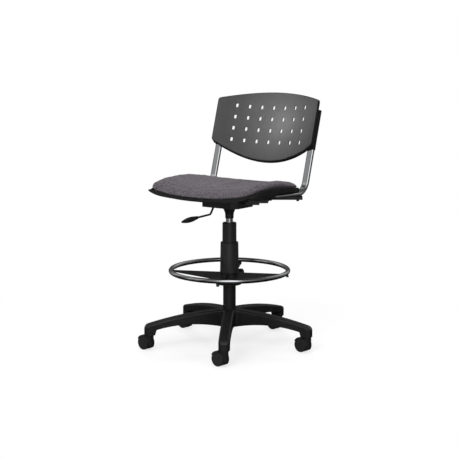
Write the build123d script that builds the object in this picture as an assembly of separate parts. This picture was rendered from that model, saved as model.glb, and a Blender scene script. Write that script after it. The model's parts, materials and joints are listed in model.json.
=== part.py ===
from build123d import *
from math import asin, cos, pi, radians, sin, sqrt, tan
import os

# Drafting chair. Millimetres, +Z up, the sitter faces -Y, +X is the sitter's left.
# The origin is on the floor, on the axis of the gas column.

# ---------------------------------------------------------------- driving sizes
SEAT_TRAVEL = 190.0         # stroke of the gas spring
RING_DROP = 80.0            # how far the foot ring can be lowered
RUN_CLEAR = 0.05            # radial clearance of a shaft that turns or slides
GAP = 0.3                   # clearance between pieces that only lie near each other
SLEEVE_CLEAR = 0.8          # radial clearance between the telescopic covers

# star base
ARM_COUNT = 5
BASE_TURN = -3.4            # turn of the whole star, degrees; 0 has one arm straight back
STEM_CIRCLE_R = 321.0       # radius of the circle through the caster stems
ARM_WIDTH = 42.0
ARM_END = 19.0              # how far the arm runs on past the stem axis
HUB_R = 31.0
HUB_TOP_Z = 154.0
HUB_BOTTOM_Z = 78.0
ARM_ROOT_Z = 148.0          # top of an arm where it leaves the hub
ARM_MIDDLE_Z = 133.5        # top of an arm half way along
SOCKET_Z = 61.5             # lower end of a caster socket
SOCKET_INNER = 18.0         # from the stem axis to the socket's inner wall
BASE_WALL = 3.2
ARM_FILLET = 13.0           # between two arms, seen from above
SHOULDER_FILLET = 8.0       # along the upper edges of the arms

# casters
WHEEL_R = 27.5
WHEEL_W = 14.0
WEB_T = 6.5                # the hood's middle web
HOOD_T = 2.6
HOOD_TURN = 33.0            # the hood is turned this far down on the stem side, degrees
BOSS_R = 16.5               # the hood's upright side, round the stem
BOSS_BOTTOM_Z = 15.0
TRAIL = 21.5                # stem axis to axle
CASTER_YAW = 173.0          # direction in which the wheels trail, degrees from +X
STEM_R = 5.5
STEM_TOP_Z = 97.0
STEM_FLANGE_R = 10.0
STEM_FLANGE_T = 1.0
TAIL_R = 3.0
TAIL_Z = 40.0
AXLE_R = 3.0

# gas column
TUBE_R = 25.0
TUBE_WALL = 1.8
TUBE_BOTTOM_Z = 80.0
TUBE_TOP_Z = 484.0
BUSH_LENGTH = 80.0
CYLINDER_R = 14.0
CYLINDER_WALL = 1.8
CYLINDER_BOTTOM_Z = 150.0
CYLINDER_TOP_Z = 556.0
ROD_R = 4.0
GLAND_T = 12.0
PISTON_T = 14.0
BUTTON_R = 4.0
BUTTON_TOP_Z = 566.0
BUTTON_LENGTH = 24.0
CYLINDER_END_T = 8.0

# telescopic covers
COVER_WALL = 1.6
UPPER_COVER_R = 27.4
UPPER_COVER_TOP_Z = 490.0
COVER_BOTTOM_Z = 300.0
MIDDLE_COVER_TOP_Z = 405.0
LOWER_COVER_R = 34.9
LOWER_COVER_FLARE = 1.9     # how much wider the lower cover is at its bottom
LOWER_COVER_TOP_Z = 413.0
COVER_RIM = 2.2

# foot ring
RING_R = 229.5              # radius of the tube's centre line
RING_TUBE_R = 9.0
RING_WALL = 1.5
RING_Z = 301.0
RING_HUB_TOP_Z = 297.0
RING_HUB_BOTTOM_Z = 246.0
RING_HUB_R = 33.0
RING_COLLAR_R = 28.6
RING_FLANGE_R = 47.0
RING_FLANGE_T = 3.5
SPOKE_TURN = 25.1           # direction of the first spoke from -Y towards +X, degrees
SPOKE_W = 13.0
SPOKE_T = 4.0
SPOKE_ROOT_DEPTH = 34.0
SPOKE_END_DEPTH = 7.0
KNOB_TURN = 160.1           # direction of the clamp knob from -Y towards +X, degrees
KNOB_R = 14.0
KNOB_T = 18.0
KNOB_Z = 287.0
CLAMP_SCREW_R = 4.0

# seat
SEAT_HALF_W = 242.0
SEAT_CORNER_W = 236.0       # half width at the front corners
SEAT_FRONT_Y = -214.0
SEAT_NOSE = 16.0            # how far the front edge bulges forward
SEAT_REAR_Y = 206.0
REAR_CORNER_R = 104.0
FRONT_CORNER_R = 26.0
SHELL_WALL = 3.0
PAN_T = 4.0
POCKET_DEPTH = 10.0
LIP_W = 13.0                # shell rim left free around the cushion
BOARD_T = 5.0
BOARD_INSET = 9.0
CUSHION_CROWN = 27.0
CUSHION_EDGE = 8.0

# back tubes, a flat oval section
FRAME_X = 224.0             # side position of the tubes
OVAL_W = 30.0
OVAL_T = 15.0
OVAL_WALL = 1.6
RAIL_SLOPE = 2.1            # degrees, falling to the rear
RAIL_FRONT = (-120.0, 612.5)    # y and z of the centre line at its front end
BEND_BEFORE_REAR = 21.6     # from the seat's rear edge forward to where the two straight runs would meet
RAIL_BEND_Y = SEAT_REAR_Y - BEND_BEFORE_REAR
BEND_R = 62.0
RECLINE = 16.7              # degrees

# mechanism
BOX_X0 = -98.0
BOX_X1 = 62.0
BOX_Y0 = -50.0
BOX_Y1 = 74.0
BOX_Z0 = 549.0
BOX_Z1 = 595.0
BOX_CHAMFER = 22.0          # cut off the front corner on the sitter's left
FLANGE_X1 = 92.0            # the flanges run on past the box
STEEL_T = 2.5
CONE_BOTTOM_Z = 506.5
SEAT_BOLT_REACH = 6.5
LEVER_R = 4.0
LEVER_PIVOT = (-60.0, 0.0, 566.0)
LEVER_PIN_R = 2.5
ARM_BAR_W = 32.0
ARM_BAR_H = 14.0
ARM_BAR_WALL = 2.0
GUSSET_T = 3.0
GUSSET_END = 92.0           # how far the gusset reaches along the bar
GUSSET_BOLTS = (54.0, 76.0)
GUSSET_STEPS = ((44.0, 560.0), (78.0, 567.0))    # how far each step of its webs reaches, and its bottom
ARM_END_Y = 163.0
ARM_BOLT_Y = 141.0
BOLT_R = 3.0
BOLT_HOLE_R = 3.1

# backrest
BACK_BEHIND_SEAT = 79.0     # from the seat's rear edge to the middle of the backrest's front face
BACK_Y = SEAT_REAR_Y + BACK_BEHIND_SEAT
BACK_Z = 854.0
BACK_R = 524.0              # radius of the hollow front face
BACK_HALF_ARC = 253.0
BACK_TOP = 137.0
BACK_TOP_CORNER = 95.0
BACK_BOTTOM = -154.0
BACK_BOTTOM_CORNER = -88.0
BACK_T = 4.5
BACK_RIM_DEPTH = 13.0
BACK_RIM_W = 3.5
BACK_CORNER_R = 9.0
HOLE_COLUMNS = 7
HOLE_ROWS = 4
HOLE_PITCH_X = 55.8
HOLE_PITCH_Y = 47.4
HOLE_W = 10.0
HOLE_H = 15.0
HOLE_CORNER_R = 3.2
SLEEVE_WALL = 2.2
SLEEVE_LOW = -97.0
SLEEVE_HIGH = 62.0
BACK_SCREW_R = 2.0
BACK_SCREW_HEIGHTS = (SLEEVE_LOW + 14, SLEEVE_HIGH - 24)

NODES = {}


def keep(name, *shapes):
    """Give a node its solids."""
    solids = []
    for shape in shapes:
        solids += shape.solids()
    NODES[name] = Compound(children=solids) if len(solids) > 1 else solids[0]


def rod(radius, z0, z1, x=0.0, y=0.0):
    """Upright cylinder between two heights."""
    return Pos(x, y, (z0 + z1) / 2) * Cylinder(radius, z1 - z0)


def ring(r_in, r_out, z0, z1):
    """Upright tube between two heights."""
    return rod(r_out, z0, z1) - rod(r_in, z0 - 1, z1 + 1)


def block(x0, x1, y0, y1, z0, z1):
    """Box from its corners."""
    return Pos((x0 + x1) / 2, (y0 + y1) / 2, (z0 + z1) / 2) * Box(x1 - x0, y1 - y0, z1 - z0)


def revolved(points):
    """Solid of revolution about Z from a closed outline of (r, z) points."""
    return revolve(make_face(Polyline(*[(r, 0, z) for r, z in points], close=True)), Axis.Z)


def from_front(angle, radius):
    """Point at an angle measured from -Y towards +X."""
    a = radians(angle)
    return radius * sin(a), -radius * cos(a)


def arm_angles():
    """Direction of each arm from +X, degrees."""
    return [90 + BASE_TURN + 360 / ARM_COUNT * i for i in range(ARM_COUNT)]


def stem_points():
    """Stem axis of each caster."""
    angles = [radians(a) for a in arm_angles()]
    return [(STEM_CIRCLE_R * cos(a), STEM_CIRCLE_R * sin(a)) for a in angles]


# ---------------------------------------------------------------- star base
def arm_outline(shrink):
    """Star seen from above: rounded arms around the hub."""
    end = STEM_CIRCLE_R + ARM_END - shrink
    width = ARM_WIDTH - 2 * shrink
    bar = Pos(end / 2, 0) * Rectangle(end, width)
    bar = fillet(bar.vertices().group_by(Axis.X)[-1], 15.0 - shrink / 2)
    star = Circle(HUB_R - shrink)
    for angle in arm_angles():
        star += Rot(0, 0, angle) * bar
    inner = [v for v in star.vertices() if sqrt(v.X ** 2 + v.Y ** 2) < 2 * HUB_R]
    return fillet(inner, ARM_FILLET + shrink)


def arm_profile(drop, floor):
    """Side view of an arm from the hub axis outwards, as a face in the XZ plane."""
    end = STEM_CIRCLE_R + ARM_END + 1
    shoulder = STEM_CIRCLE_R + ARM_END - 17
    top = ThreePointArc((HUB_R - 4, 0, ARM_ROOT_Z - drop), (180, 0, ARM_MIDDLE_Z - drop), (shoulder, 0, 104 - drop))
    nose = ThreePointArc((shoulder, 0, 104 - drop), (end - 6, 0, 96 - drop), (end, 0, 82 - drop))
    socket_wall = STEM_CIRCLE_R - SOCKET_INNER
    under = ThreePointArc((socket_wall - 6, 0, 82), (150, 0, 96), (HUB_R + 8, 0, HUB_BOTTOM_Z + 2))
    outline = [
        Line((0, 0, HUB_TOP_Z - drop), (HUB_R - 4, 0, HUB_TOP_Z - drop)),
        Line((HUB_R - 4, 0, HUB_TOP_Z - drop), (HUB_R - 4, 0, ARM_ROOT_Z - drop)),
        top,
        nose,
        Line((end, 0, 82 - drop), (end, 0, floor)),
    ]
    if floor < SOCKET_Z:
        outline.append(Line((end, 0, floor), (0, 0, floor)))
        outline.append(Line((0, 0, floor), (0, 0, HUB_TOP_Z - drop)))
    else:
        outline.append(Line((end, 0, floor), (socket_wall, 0, floor)))
        outline.append(Line((socket_wall, 0, floor), (socket_wall - 6, 0, 82)))
        outline.append(under)
        outline.append(Line((HUB_R + 8, 0, HUB_BOTTOM_Z + 2), (HUB_R, 0, HUB_BOTTOM_Z)))
        outline.append(Line((HUB_R, 0, HUB_BOTTOM_Z), (0, 0, HUB_BOTTOM_Z)))
        outline.append(Line((0, 0, HUB_BOTTOM_Z), (0, 0, HUB_TOP_Z)))
    return make_face(Wire(outline))


def star_base():
    """Moulded star, hollow and ribbed from below, with a socket at the end of each arm."""
    hull = revolve(arm_profile(0, SOCKET_Z), Axis.Z)
    plan = extrude(arm_outline(0), 220)
    body = hull & plan
    edges = [
        e for e in body.edges()
        if 100 < e.center().Z < 150 and 60 < sqrt(e.center().X ** 2 + e.center().Y ** 2) < STEM_CIRCLE_R
        and e.length > 100
    ]
    body = fillet(edges, SHOULDER_FILLET)
    hollow = revolve(arm_profile(BASE_WALL + 1, 0), Axis.Z) & extrude(arm_outline(BASE_WALL), 220)
    hollow -= rod(TUBE_R + BASE_WALL + 2, 0, 220)
    for angle, (x, y) in zip(arm_angles(), stem_points()):
        hollow -= rod(STEM_R + 4.5, 0, 220, x, y)
        hollow -= Rot(0, 0, angle) * block(0, STEM_CIRCLE_R + ARM_END, -1.2, 1.2, 0, 220)
        for distance in (85, 140, 195, 250, STEM_CIRCLE_R - SOCKET_INNER + 1.2):
            hollow -= Rot(0, 0, angle) * block(distance - 1.2, distance + 1.2, -30, 30, 0, 220)
    body -= hollow
    body -= rod(TUBE_R + RUN_CLEAR, 0, 220)
    for x, y in stem_points():
        body -= rod(STEM_R + RUN_CLEAR, 0, STEM_TOP_Z + 0.5, x, y)
    return body


def build_base():
    keep("star_base", star_base())
    stems = []
    flange_top = SOCKET_Z
    flange_bottom = SOCKET_Z - STEM_FLANGE_T
    for x, y in stem_points():
        stem = rod(STEM_R, flange_bottom, STEM_TOP_Z, x, y)
        stem += rod(STEM_FLANGE_R, flange_bottom, flange_top, x, y)
        stem += rod(STEM_R, TAIL_Z + 10, flange_bottom, x, y)
        stem += rod(TAIL_R, TAIL_Z, TAIL_Z + 10, x, y)
        stem = chamfer(stem.edges().group_by(Axis.Z)[-1], 1.2)
        stems.append(stem)
    keep("caster_stems", *stems)


# ---------------------------------------------------------------- casters
def on_axle(shape):
    """Turn a shape made along Z so that it lies along Y, the axle."""
    return Rot(90, 0, 0) * shape


def caster_hood():
    """Hood in its own frame: the axle along Y at X = -TRAIL, the stem along Z at the origin."""
    half = WEB_T / 2 + WHEEL_W + 1.0
    outer = WHEEL_R + HOOD_T + 0.9
    inner = WHEEL_R + 0.9
    axle = Pos(-TRAIL, 0, WHEEL_R)
    drum = axle * on_axle(Cylinder(outer, 2 * half))
    drum = fillet(drum.edges().filter_by(GeomType.CIRCLE), 1.6)
    shroud = drum & axle * Rot(0, HOOD_TURN, 0) * block(-80, 80, -60, 60, -3, 90)
    boss_top = SOCKET_Z - STEM_FLANGE_T - GAP
    boss = rod(BOSS_R, BOSS_BOTTOM_Z, boss_top)
    shroud += fillet(boss.edges().group_by(Axis.Z)[0], 4)
    web = axle * on_axle(Cylinder(WHEEL_R - 4, WEB_T))
    web += block(-TRAIL, 4, -WEB_T / 2, WEB_T / 2, WHEEL_R - 6, boss_top - 8)
    for side in (-1, 1):
        middle = side * (WEB_T / 2 + 30)
        shroud -= axle * Pos(0, middle, 0) * on_axle(Cylinder(inner, 60))
    hood = shroud + (web & axle * on_axle(Cylinder(outer, WEB_T)))
    hood -= rod(STEM_R + RUN_CLEAR, TAIL_Z + 10 - GAP, 120)
    hood -= rod(TAIL_R + RUN_CLEAR, TAIL_Z - GAP, 120)
    hood -= axle * on_axle(Cylinder(AXLE_R, 80))
    return hood


def caster_wheel(side):
    """One wheel of the pair, with a dished outer face and a rounded tread."""
    start = WEB_T / 2 + 0.6
    axle = Pos(-TRAIL, side * (start + WHEEL_W / 2), WHEEL_R)
    wheel = Cylinder(WHEEL_R, WHEEL_W)
    wheel = fillet(wheel.edges().filter_by(GeomType.CIRCLE), 2.4)
    outward = -side
    dish = Pos(0, 0, outward * WHEEL_W / 2) * Cylinder(WHEEL_R - 5, 2.0)
    wheel -= dish
    cap = Pos(0, 0, outward * (WHEEL_W / 2 - 1)) * Cylinder(7, 1.8)
    wheel += cap
    recess = Pos(0, 0, -outward * WHEEL_W / 2) * (Cylinder(WHEEL_R - 5, 16) - Cylinder(6.5, 20))
    wheel -= recess
    blind = Pos(0, 0, -outward * 4.0) * Cylinder(AXLE_R + RUN_CLEAR, WHEEL_W)
    wheel -= blind
    return axle * on_axle(wheel)


def caster_axle():
    """Pin through the hood's web into both wheels."""
    half = WEB_T / 2 + 0.6 + WHEEL_W - 4.0 - 1.0
    pin = Pos(-TRAIL, 0, WHEEL_R) * on_axle(Cylinder(AXLE_R, 2 * half))
    return chamfer(pin.edges().filter_by(GeomType.CIRCLE), 0.5)


def build_casters():
    hood = caster_hood()
    axle = caster_axle()
    wheels = {"a": caster_wheel(-1), "b": caster_wheel(1)}
    # The local -X axis is the trailing side, so the yaw is turned by half a turn.
    for number, (x, y) in enumerate(stem_points(), 1):
        place = Pos(x, y, 0) * Rot(0, 0, CASTER_YAW - 180)
        keep(f"caster_hood_{number}", place * hood)
        keep(f"caster_axle_{number}", place * axle)
        for letter, wheel in wheels.items():
            keep(f"caster_wheel_{number}{letter}", place * wheel)


# ---------------------------------------------------------------- gas column
def build_column():
    floor_t = 3.0
    tube = ring(TUBE_R - TUBE_WALL, TUBE_R, TUBE_BOTTOM_Z, TUBE_TOP_Z)
    tube += ring(ROD_R + RUN_CLEAR, TUBE_R, TUBE_BOTTOM_Z, TUBE_BOTTOM_Z + floor_t)
    keep("column_tube", tube)

    bush = ring(CYLINDER_R + RUN_CLEAR, TUBE_R - TUBE_WALL, TUBE_TOP_Z - BUSH_LENGTH, TUBE_TOP_Z)
    bush += ring(CYLINDER_R + RUN_CLEAR, TUBE_R, TUBE_TOP_Z, TUBE_TOP_Z + 2)
    keep("guide_bush", bush)

    race_t = 2.0
    ball_r = 1.6
    race_r = 13.0
    bottom = TUBE_BOTTOM_Z + floor_t
    top = bottom + race_t + 2 * ball_r
    lower = ring(ROD_R + RUN_CLEAR, race_r, bottom, bottom + race_t)
    upper = ring(ROD_R + RUN_CLEAR, race_r, top, top + race_t)
    keep("bearing_races", lower, upper)
    balls = []
    for i in range(10):
        a = 2 * pi * i / 10
        balls.append(Pos(9.0 * cos(a), 9.0 * sin(a), bottom + race_t + ball_r) * Sphere(ball_r))
    keep("bearing_balls", *balls)

    piston_bottom = CYLINDER_BOTTOM_Z + SEAT_TRAVEL + GLAND_T + 6
    shoulder_z = top + race_t
    spindle = rod(ROD_R, TUBE_BOTTOM_Z - 6, piston_bottom + PISTON_T)
    spindle += rod(9.0, shoulder_z, shoulder_z + 4)
    spindle -= ring(ROD_R - 0.8, ROD_R + 1, TUBE_BOTTOM_Z - 2.5, TUBE_BOTTOM_Z - 1)
    keep("piston_rod", spindle)
    clip = ring(ROD_R - 0.8, 9.0, TUBE_BOTTOM_Z - 2.5, TUBE_BOTTOM_Z - 1)
    clip -= block(-1.8, 1.8, -12, -2, 0, 200)
    keep("rod_clip", clip)
    inner_r = CYLINDER_R - CYLINDER_WALL
    piston = ring(ROD_R, inner_r - RUN_CLEAR, piston_bottom, piston_bottom + PISTON_T)
    keep("piston", piston)

    cylinder = ring(inner_r, CYLINDER_R, CYLINDER_BOTTOM_Z, CYLINDER_TOP_Z)
    end = ring(BUTTON_R + RUN_CLEAR, CYLINDER_R, CYLINDER_TOP_Z - CYLINDER_END_T, CYLINDER_TOP_Z)
    keep("inner_cylinder", cylinder + end)
    gland = ring(ROD_R + RUN_CLEAR, inner_r, CYLINDER_BOTTOM_Z, CYLINDER_BOTTOM_Z + GLAND_T)
    keep("cylinder_gland", gland)
    button = rod(BUTTON_R, BUTTON_TOP_Z - BUTTON_LENGTH, BUTTON_TOP_Z)
    button += rod(BUTTON_R + 2, BUTTON_TOP_Z - BUTTON_LENGTH, CYLINDER_TOP_Z - CYLINDER_END_T - GAP)
    button = chamfer(button.edges().group_by(Axis.Z)[-1], 0.8)
    keep("valve_button", button)


def cover(r_out, wall, z0, z1, flare=0.0):
    """Straight or slightly flared sleeve with an inward rim at the top."""
    r_in = r_out - wall
    chamfer_size = 1.2
    return revolved([
        (r_in + flare, z0), (r_out + flare, z0), (r_out, z1 - chamfer_size),
        (r_out - chamfer_size, z1), (r_in - COVER_RIM + 1, z1), (r_in - COVER_RIM + 1, z1 - 2.5), (r_in, z1 - 2.5),
    ])


def build_covers():
    upper = revolved([
        (UPPER_COVER_R - COVER_WALL + 0.6, COVER_BOTTOM_Z), (UPPER_COVER_R + 0.6, COVER_BOTTOM_Z),
        (UPPER_COVER_R, UPPER_COVER_TOP_Z - 2), (UPPER_COVER_R - 2, UPPER_COVER_TOP_Z),
        (CYLINDER_R, UPPER_COVER_TOP_Z), (CYLINDER_R, UPPER_COVER_TOP_Z - 2.5),
        (UPPER_COVER_R - COVER_WALL, UPPER_COVER_TOP_Z - 2.5),
    ])
    keep("cover_upper", upper)
    upper_outer = UPPER_COVER_R + 0.6
    lower_inner = LOWER_COVER_R - COVER_WALL
    middle_r = (upper_outer + lower_inner + COVER_WALL) / 2
    keep("cover_middle", cover(middle_r, COVER_WALL, COVER_BOTTOM_Z, MIDDLE_COVER_TOP_Z))
    keep("cover_lower", cover(LOWER_COVER_R, COVER_WALL, RING_HUB_TOP_Z, LOWER_COVER_TOP_Z, LOWER_COVER_FLARE))


# ---------------------------------------------------------------- foot ring
def spoke():
    """One spoke along +X: a flat top with a deep tapering web under it."""
    top = RING_Z - RING_TUBE_R - GAP / 3
    end = RING_R + 4
    depth = [(0, top), (end, top), (end, top - SPOKE_END_DEPTH), (RING_R - 14, top - SPOKE_END_DEPTH),
             (RING_COLLAR_R, top - SPOKE_ROOT_DEPTH), (0, top - SPOKE_ROOT_DEPTH)]
    side = make_face(Polyline(*[(x, 0, z) for x, z in depth], close=True))
    solid = extrude(side, SPOKE_W / 2, both=True)
    tip = solid.edges().filter_by(Axis.Z).group_by(Axis.X)[-1]
    solid = fillet(tip, SPOKE_W * 0.45)
    channel = [(0, top - SPOKE_T), (RING_R - 20, top - SPOKE_T), (RING_R - 20, 200), (0, 200)]
    cut = make_face(Polyline(*[(x, 0, z) for x, z in channel], close=True))
    solid -= extrude(cut, SPOKE_W / 2 - 3, both=True)
    rib = block(0, RING_R - 18, -1.3, 1.3, 200, top - SPOKE_T) & extrude(side, 2, both=True)
    return solid + rib


def build_foot_ring():
    ring_tube = Pos(0, 0, RING_Z) * Torus(RING_R, RING_TUBE_R)
    ring_tube -= Pos(0, 0, RING_Z) * Torus(RING_R, RING_TUBE_R - RING_WALL)
    screw_r = 3.0
    head_r = 5.5
    head_h = 4.0
    spoke_top = RING_Z - RING_TUBE_R - GAP / 3
    hub = rod(RING_HUB_R, RING_HUB_TOP_Z - 38, RING_HUB_TOP_Z)
    hub += rod(RING_COLLAR_R, RING_HUB_BOTTOM_Z, RING_HUB_TOP_Z)
    hub += rod(RING_FLANGE_R, RING_HUB_BOTTOM_Z, RING_HUB_BOTTOM_Z + RING_FLANGE_T)
    hub += rod(LOWER_COVER_R + LOWER_COVER_FLARE + 1, RING_HUB_TOP_Z - 4, RING_HUB_TOP_Z)
    hub = chamfer(hub.edges().group_by(Axis.Z)[-1], 0.8)
    screws = []
    holes = []
    for i in range(4):
        angle = SPOKE_TURN - 90 + 90 * i
        hub += Rot(0, 0, angle) * spoke()
        x = RING_R * cos(radians(angle))
        y = RING_R * sin(radians(angle))
        low = spoke_top - SPOKE_END_DEPTH
        hub -= rod(screw_r + 0.1, low - 5, spoke_top + 5, x, y)
        hole = extrude(Rot(0, 0, angle) * RegularPolygon(screw_r + 0.6, 6), 9)
        holes.append(Pos(x, y, RING_Z - RING_TUBE_R - 2) * hole)
        screw = rod(screw_r, low - 1, RING_Z - RING_TUBE_R + 4, x, y)
        screw += rod(head_r, low - head_h, low, x, y)
        screws.append(fillet(screw.edges().group_by(Axis.Z)[0], 1.2))
    keep("foot_ring_tube", ring_tube - holes)
    keep("foot_ring_screws", *screws)

    knob_angle = KNOB_TURN - 90
    lug_end = RING_HUB_R + 11
    turn = Rot(0, 0, knob_angle)
    lug = turn * Pos(0, 0, KNOB_Z) * block(RING_COLLAR_R - 2, lug_end, -11, 11, -11, 9)
    lug = fillet(lug.edges().filter_by(Axis.Z), 4)
    hub += lug
    hub -= rod(TUBE_R + RUN_CLEAR, 0, 400)
    along = turn * Pos(0, 0, KNOB_Z) * Rot(0, 90, 0)
    hub -= along * Pos(0, 0, 40) * Cylinder(CLAMP_SCREW_R + RUN_CLEAR, 40)
    keep("foot_ring_hub", hub)

    pad = along * Pos(0, 0, TUBE_R + 0.1 + 1.5) * Cylinder(CLAMP_SCREW_R - 0.5, 3)
    pad -= rod(TUBE_R + 0.1, 0, 400)
    screw_in = TUBE_R + 3.4
    knob_in = lug_end + 1.0
    screw = along * Pos(0, 0, (screw_in + knob_in + 8) / 2) * Cylinder(CLAMP_SCREW_R, knob_in + 8 - screw_in)
    knob = Pos(0, 0, knob_in + KNOB_T / 2) * Cylinder(KNOB_R, KNOB_T)
    knob = fillet(knob.edges().group_by(Axis.Z)[-1], 5.0)
    knob = fillet(knob.edges().group_by(Axis.Z)[0], 2.0)
    for i in range(6):
        a = 2 * pi * i / 6
        knob -= Pos((KNOB_R + 3) * cos(a), (KNOB_R + 3) * sin(a), knob_in + KNOB_T / 2) * Cylinder(5.2, KNOB_T + 2)
    knob -= Pos(0, 0, knob_in + 4) * Cylinder(CLAMP_SCREW_R, 8)
    keep("clamp_pad", pad)
    keep("clamp_screw", screw)
    keep("clamp_knob", along * knob)


# ---------------------------------------------------------------- seat surfaces
def blend(table, y):
    """Value between the (y, value) pairs of a short table, with smooth steps."""
    if y <= table[0][0]:
        return table[0][1]
    for (y0, v0), (y1, v1) in zip(table, table[1:]):
        if y <= y1:
            t = (y - y0) / (y1 - y0)
            return v0 + (v1 - v0) * t
    return table[-1][1]


RIM_SIDE = [(-250, 615), (-212, 625), (-165, 632), (-110, 638), (-55, 641), (10, 639), (80, 634), (150, 628), (230, 621)]
RIM_MIDDLE = [(-250, 605), (-205, 608), (-120, 612), (0, 612), (120, 612), (230, 613)]


def rim_z(x, y):
    """Height of the shell's rim surface: low in the middle, raised along the sides."""
    side = blend(RIM_SIDE, y)
    middle = blend(RIM_MIDDLE, y)
    return middle + (side - middle) * min(abs(x) / 225.0, 1.15) ** 2.4


def crown_z(x, y):
    """Height of the cushion's top: a crown over the rim surface that falls off at the edges."""
    across = min(abs(x) / SEAT_HALF_W, 1.2)
    along = min(abs(y + 8) / SEAT_REAR_Y, 1.2)
    return rim_z(x, y) + CUSHION_EDGE + (CUSHION_CROWN - CUSHION_EDGE) * (1 - across ** 6) * (1 - along ** 6)


def skirt_z(x, y):
    """Height of the shell's lower edge."""
    front = 597 + 9 * (x / SEAT_HALF_W) ** 2
    return front


def surface(height, lift=0.0):
    """Spline face through a height function, wider than the seat."""
    xs = [-270 + 30 * i for i in range(19)]
    ys = [-260 + 30 * i for i in range(18)]
    return Face.make_surface_from_array_of_points([[Vector(x, y, height(x, y) + lift) for y in ys] for x in xs])


def under(height, lift, depth=90.0):
    """Everything below a lifted height surface, to a given depth."""
    return Solid.extrude(surface(height, lift), Vector(0, 0, -depth))


def seat_outline(inset):
    """Seat seen from above, drawn inwards by an inset."""
    w = SEAT_HALF_W
    c = SEAT_CORNER_W
    front = ThreePointArc((-c, SEAT_FRONT_Y), (0, SEAT_FRONT_Y - SEAT_NOSE), (c, SEAT_FRONT_Y))
    right = ThreePointArc((c, SEAT_FRONT_Y), (w, -40), (c, SEAT_REAR_Y))
    rear = Line((c, SEAT_REAR_Y), (-c, SEAT_REAR_Y))
    left = ThreePointArc((-c, SEAT_REAR_Y), (-w, -40), (-c, SEAT_FRONT_Y))
    face = make_face(Wire([front, right, rear, left]))
    corners = face.vertices().sort_by(Axis.Y)
    face = fillet(corners[:2], FRONT_CORNER_R)
    corners = [v for v in face.vertices() if v.Y > SEAT_REAR_Y - 1]
    face = fillet(corners, REAR_CORNER_R)
    if inset:
        face = offset(face, -inset)
    return face


def prism(face, z0=540.0, z1=720.0):
    """Upright solid over a flat outline."""
    return extrude(Pos(0, 0, z0) * face, z1 - z0)


def rail_z(y):
    """Height of the tubes' centre line under the seat."""
    return RAIL_FRONT[1] - tan(radians(RAIL_SLOPE)) * (y - RAIL_FRONT[0])


def seat_bolt_points():
    return [(x, y) for x in (BOX_X0 + 14, FLANGE_X1 - 14) for y in (BOX_Y0 - 11, BOX_Y1 + 11)]


def build_seat():
    shell = prism(seat_outline(0)) & under(rim_z, 0) - under(skirt_z, 0)
    hollow = prism(seat_outline(SHELL_WALL)) & under(rim_z, -POCKET_DEPTH - PAN_T)
    shell -= hollow
    shell -= prism(seat_outline(LIP_W)) - under(rim_z, -POCKET_DEPTH)
    pan = prism(seat_outline(SHELL_WALL)) & under(rim_z, -POCKET_DEPTH - 1)
    for side in (-1, 1):
        for x in (side * 70, side * 150):
            shell += block(x - 1.2, x + 1.2, -190, 185, BOX_Z1 + 4, 660) & pan
    for y in (-150, -95, 130):
        shell += block(-200, 200, y - 1.2, y + 1.2, BOX_Z1 + 4, 660) & pan
    for x, y in seat_bolt_points():
        shell += rod(11, BOX_Z1 + STEEL_T, 660, x, y) & pan
        shell -= rod(BOLT_HOLE_R, BOX_Z1 - 10, BOX_Z1 + SEAT_BOLT_REACH + 0.3, x, y)
    shell -= rail_channel()
    for side in (-1, 1):
        x = side * FRAME_X
        shell -= oval_sweep(x, OVAL_W + 2.4, OVAL_T + 2.4, tube_path(x))
    keep("seat_shell", shell)

    board = prism(seat_outline(LIP_W + BOARD_INSET)) & under(rim_z, -POCKET_DEPTH + GAP + BOARD_T)
    board -= under(rim_z, -POCKET_DEPTH + GAP)
    keep("cushion_board", board)
    cushion = prism(seat_outline(LIP_W + GAP)) & under(crown_z, 0)
    cushion -= under(rim_z, -POCKET_DEPTH + 2 * GAP + BOARD_T)
    keep("seat_cushion", cushion)


# ---------------------------------------------------------------- back tubes
def frame_plane(x):
    """Upright plane along Y at a side position; its own x runs along +Y, its y up."""
    return Plane(origin=(x, 0, 0), x_dir=(0, 1, 0), z_dir=(1, 0, 0))


def back_direction():
    return sin(radians(RECLINE)), cos(radians(RECLINE))


def tube_line():
    """Corner and upper end of the centre line, as (y, z)."""
    corner = (RAIL_BEND_Y, rail_z(RAIL_BEND_Y))
    dy, dz = back_direction()
    offset_y = corner[0] - BACK_Y
    offset_z = corner[1] - BACK_Z
    along = offset_y * dy + offset_z * dz
    length = SLEEVE_HIGH - 6 - along
    return corner, (corner[0] + dy * length, corner[1] + dz * length)


def tube_path(x):
    corner, top = tube_line()
    start = RAIL_FRONT
    plane = frame_plane(x)
    points = [plane.from_local_coords((p[0], p[1], 0)) for p in (start, corner, top)]
    return FilletPolyline(*points, radius=BEND_R)


def oval_sweep(x, width, thick, path):
    """Flat oval section swept along a path, its wide side along X."""
    start = path @ 0
    direction = path % 0
    plane = Plane(origin=start, x_dir=(1, 0, 0), z_dir=direction)
    return sweep(plane * SlotOverall(width, thick), path=path)


def rail_channel():
    """Room for the tubes where they run under the seat."""
    cut = None
    for side in (-1, 1):
        y0 = RAIL_FRONT[0] - 6
        y1 = 260
        half = OVAL_W / 2 + 1.2
        top = OVAL_T / 2 + 1.2
        corners = [(y0, rail_z(y0) + top), (y1, rail_z(y1) + top), (y1, 560), (y0, 560)]
        plane = frame_plane(side * FRAME_X)
        face = make_face(Polyline(*[plane.from_local_coords((a, b, 0)) for a, b in corners], close=True))
        slot = extrude(face, half, both=True)
        y0 = -40
        corners = [(y0, rail_z(y0) + top), (y1, rail_z(y1) + top), (y1, 560), (y0, 560)]
        face = make_face(Polyline(*[plane.from_local_coords((a, b, 0)) for a, b in corners], close=True))
        open_side = extrude(face, 40, both=True)
        both = slot + open_side
        cut = both if cut is None else cut + both
    return cut


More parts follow.
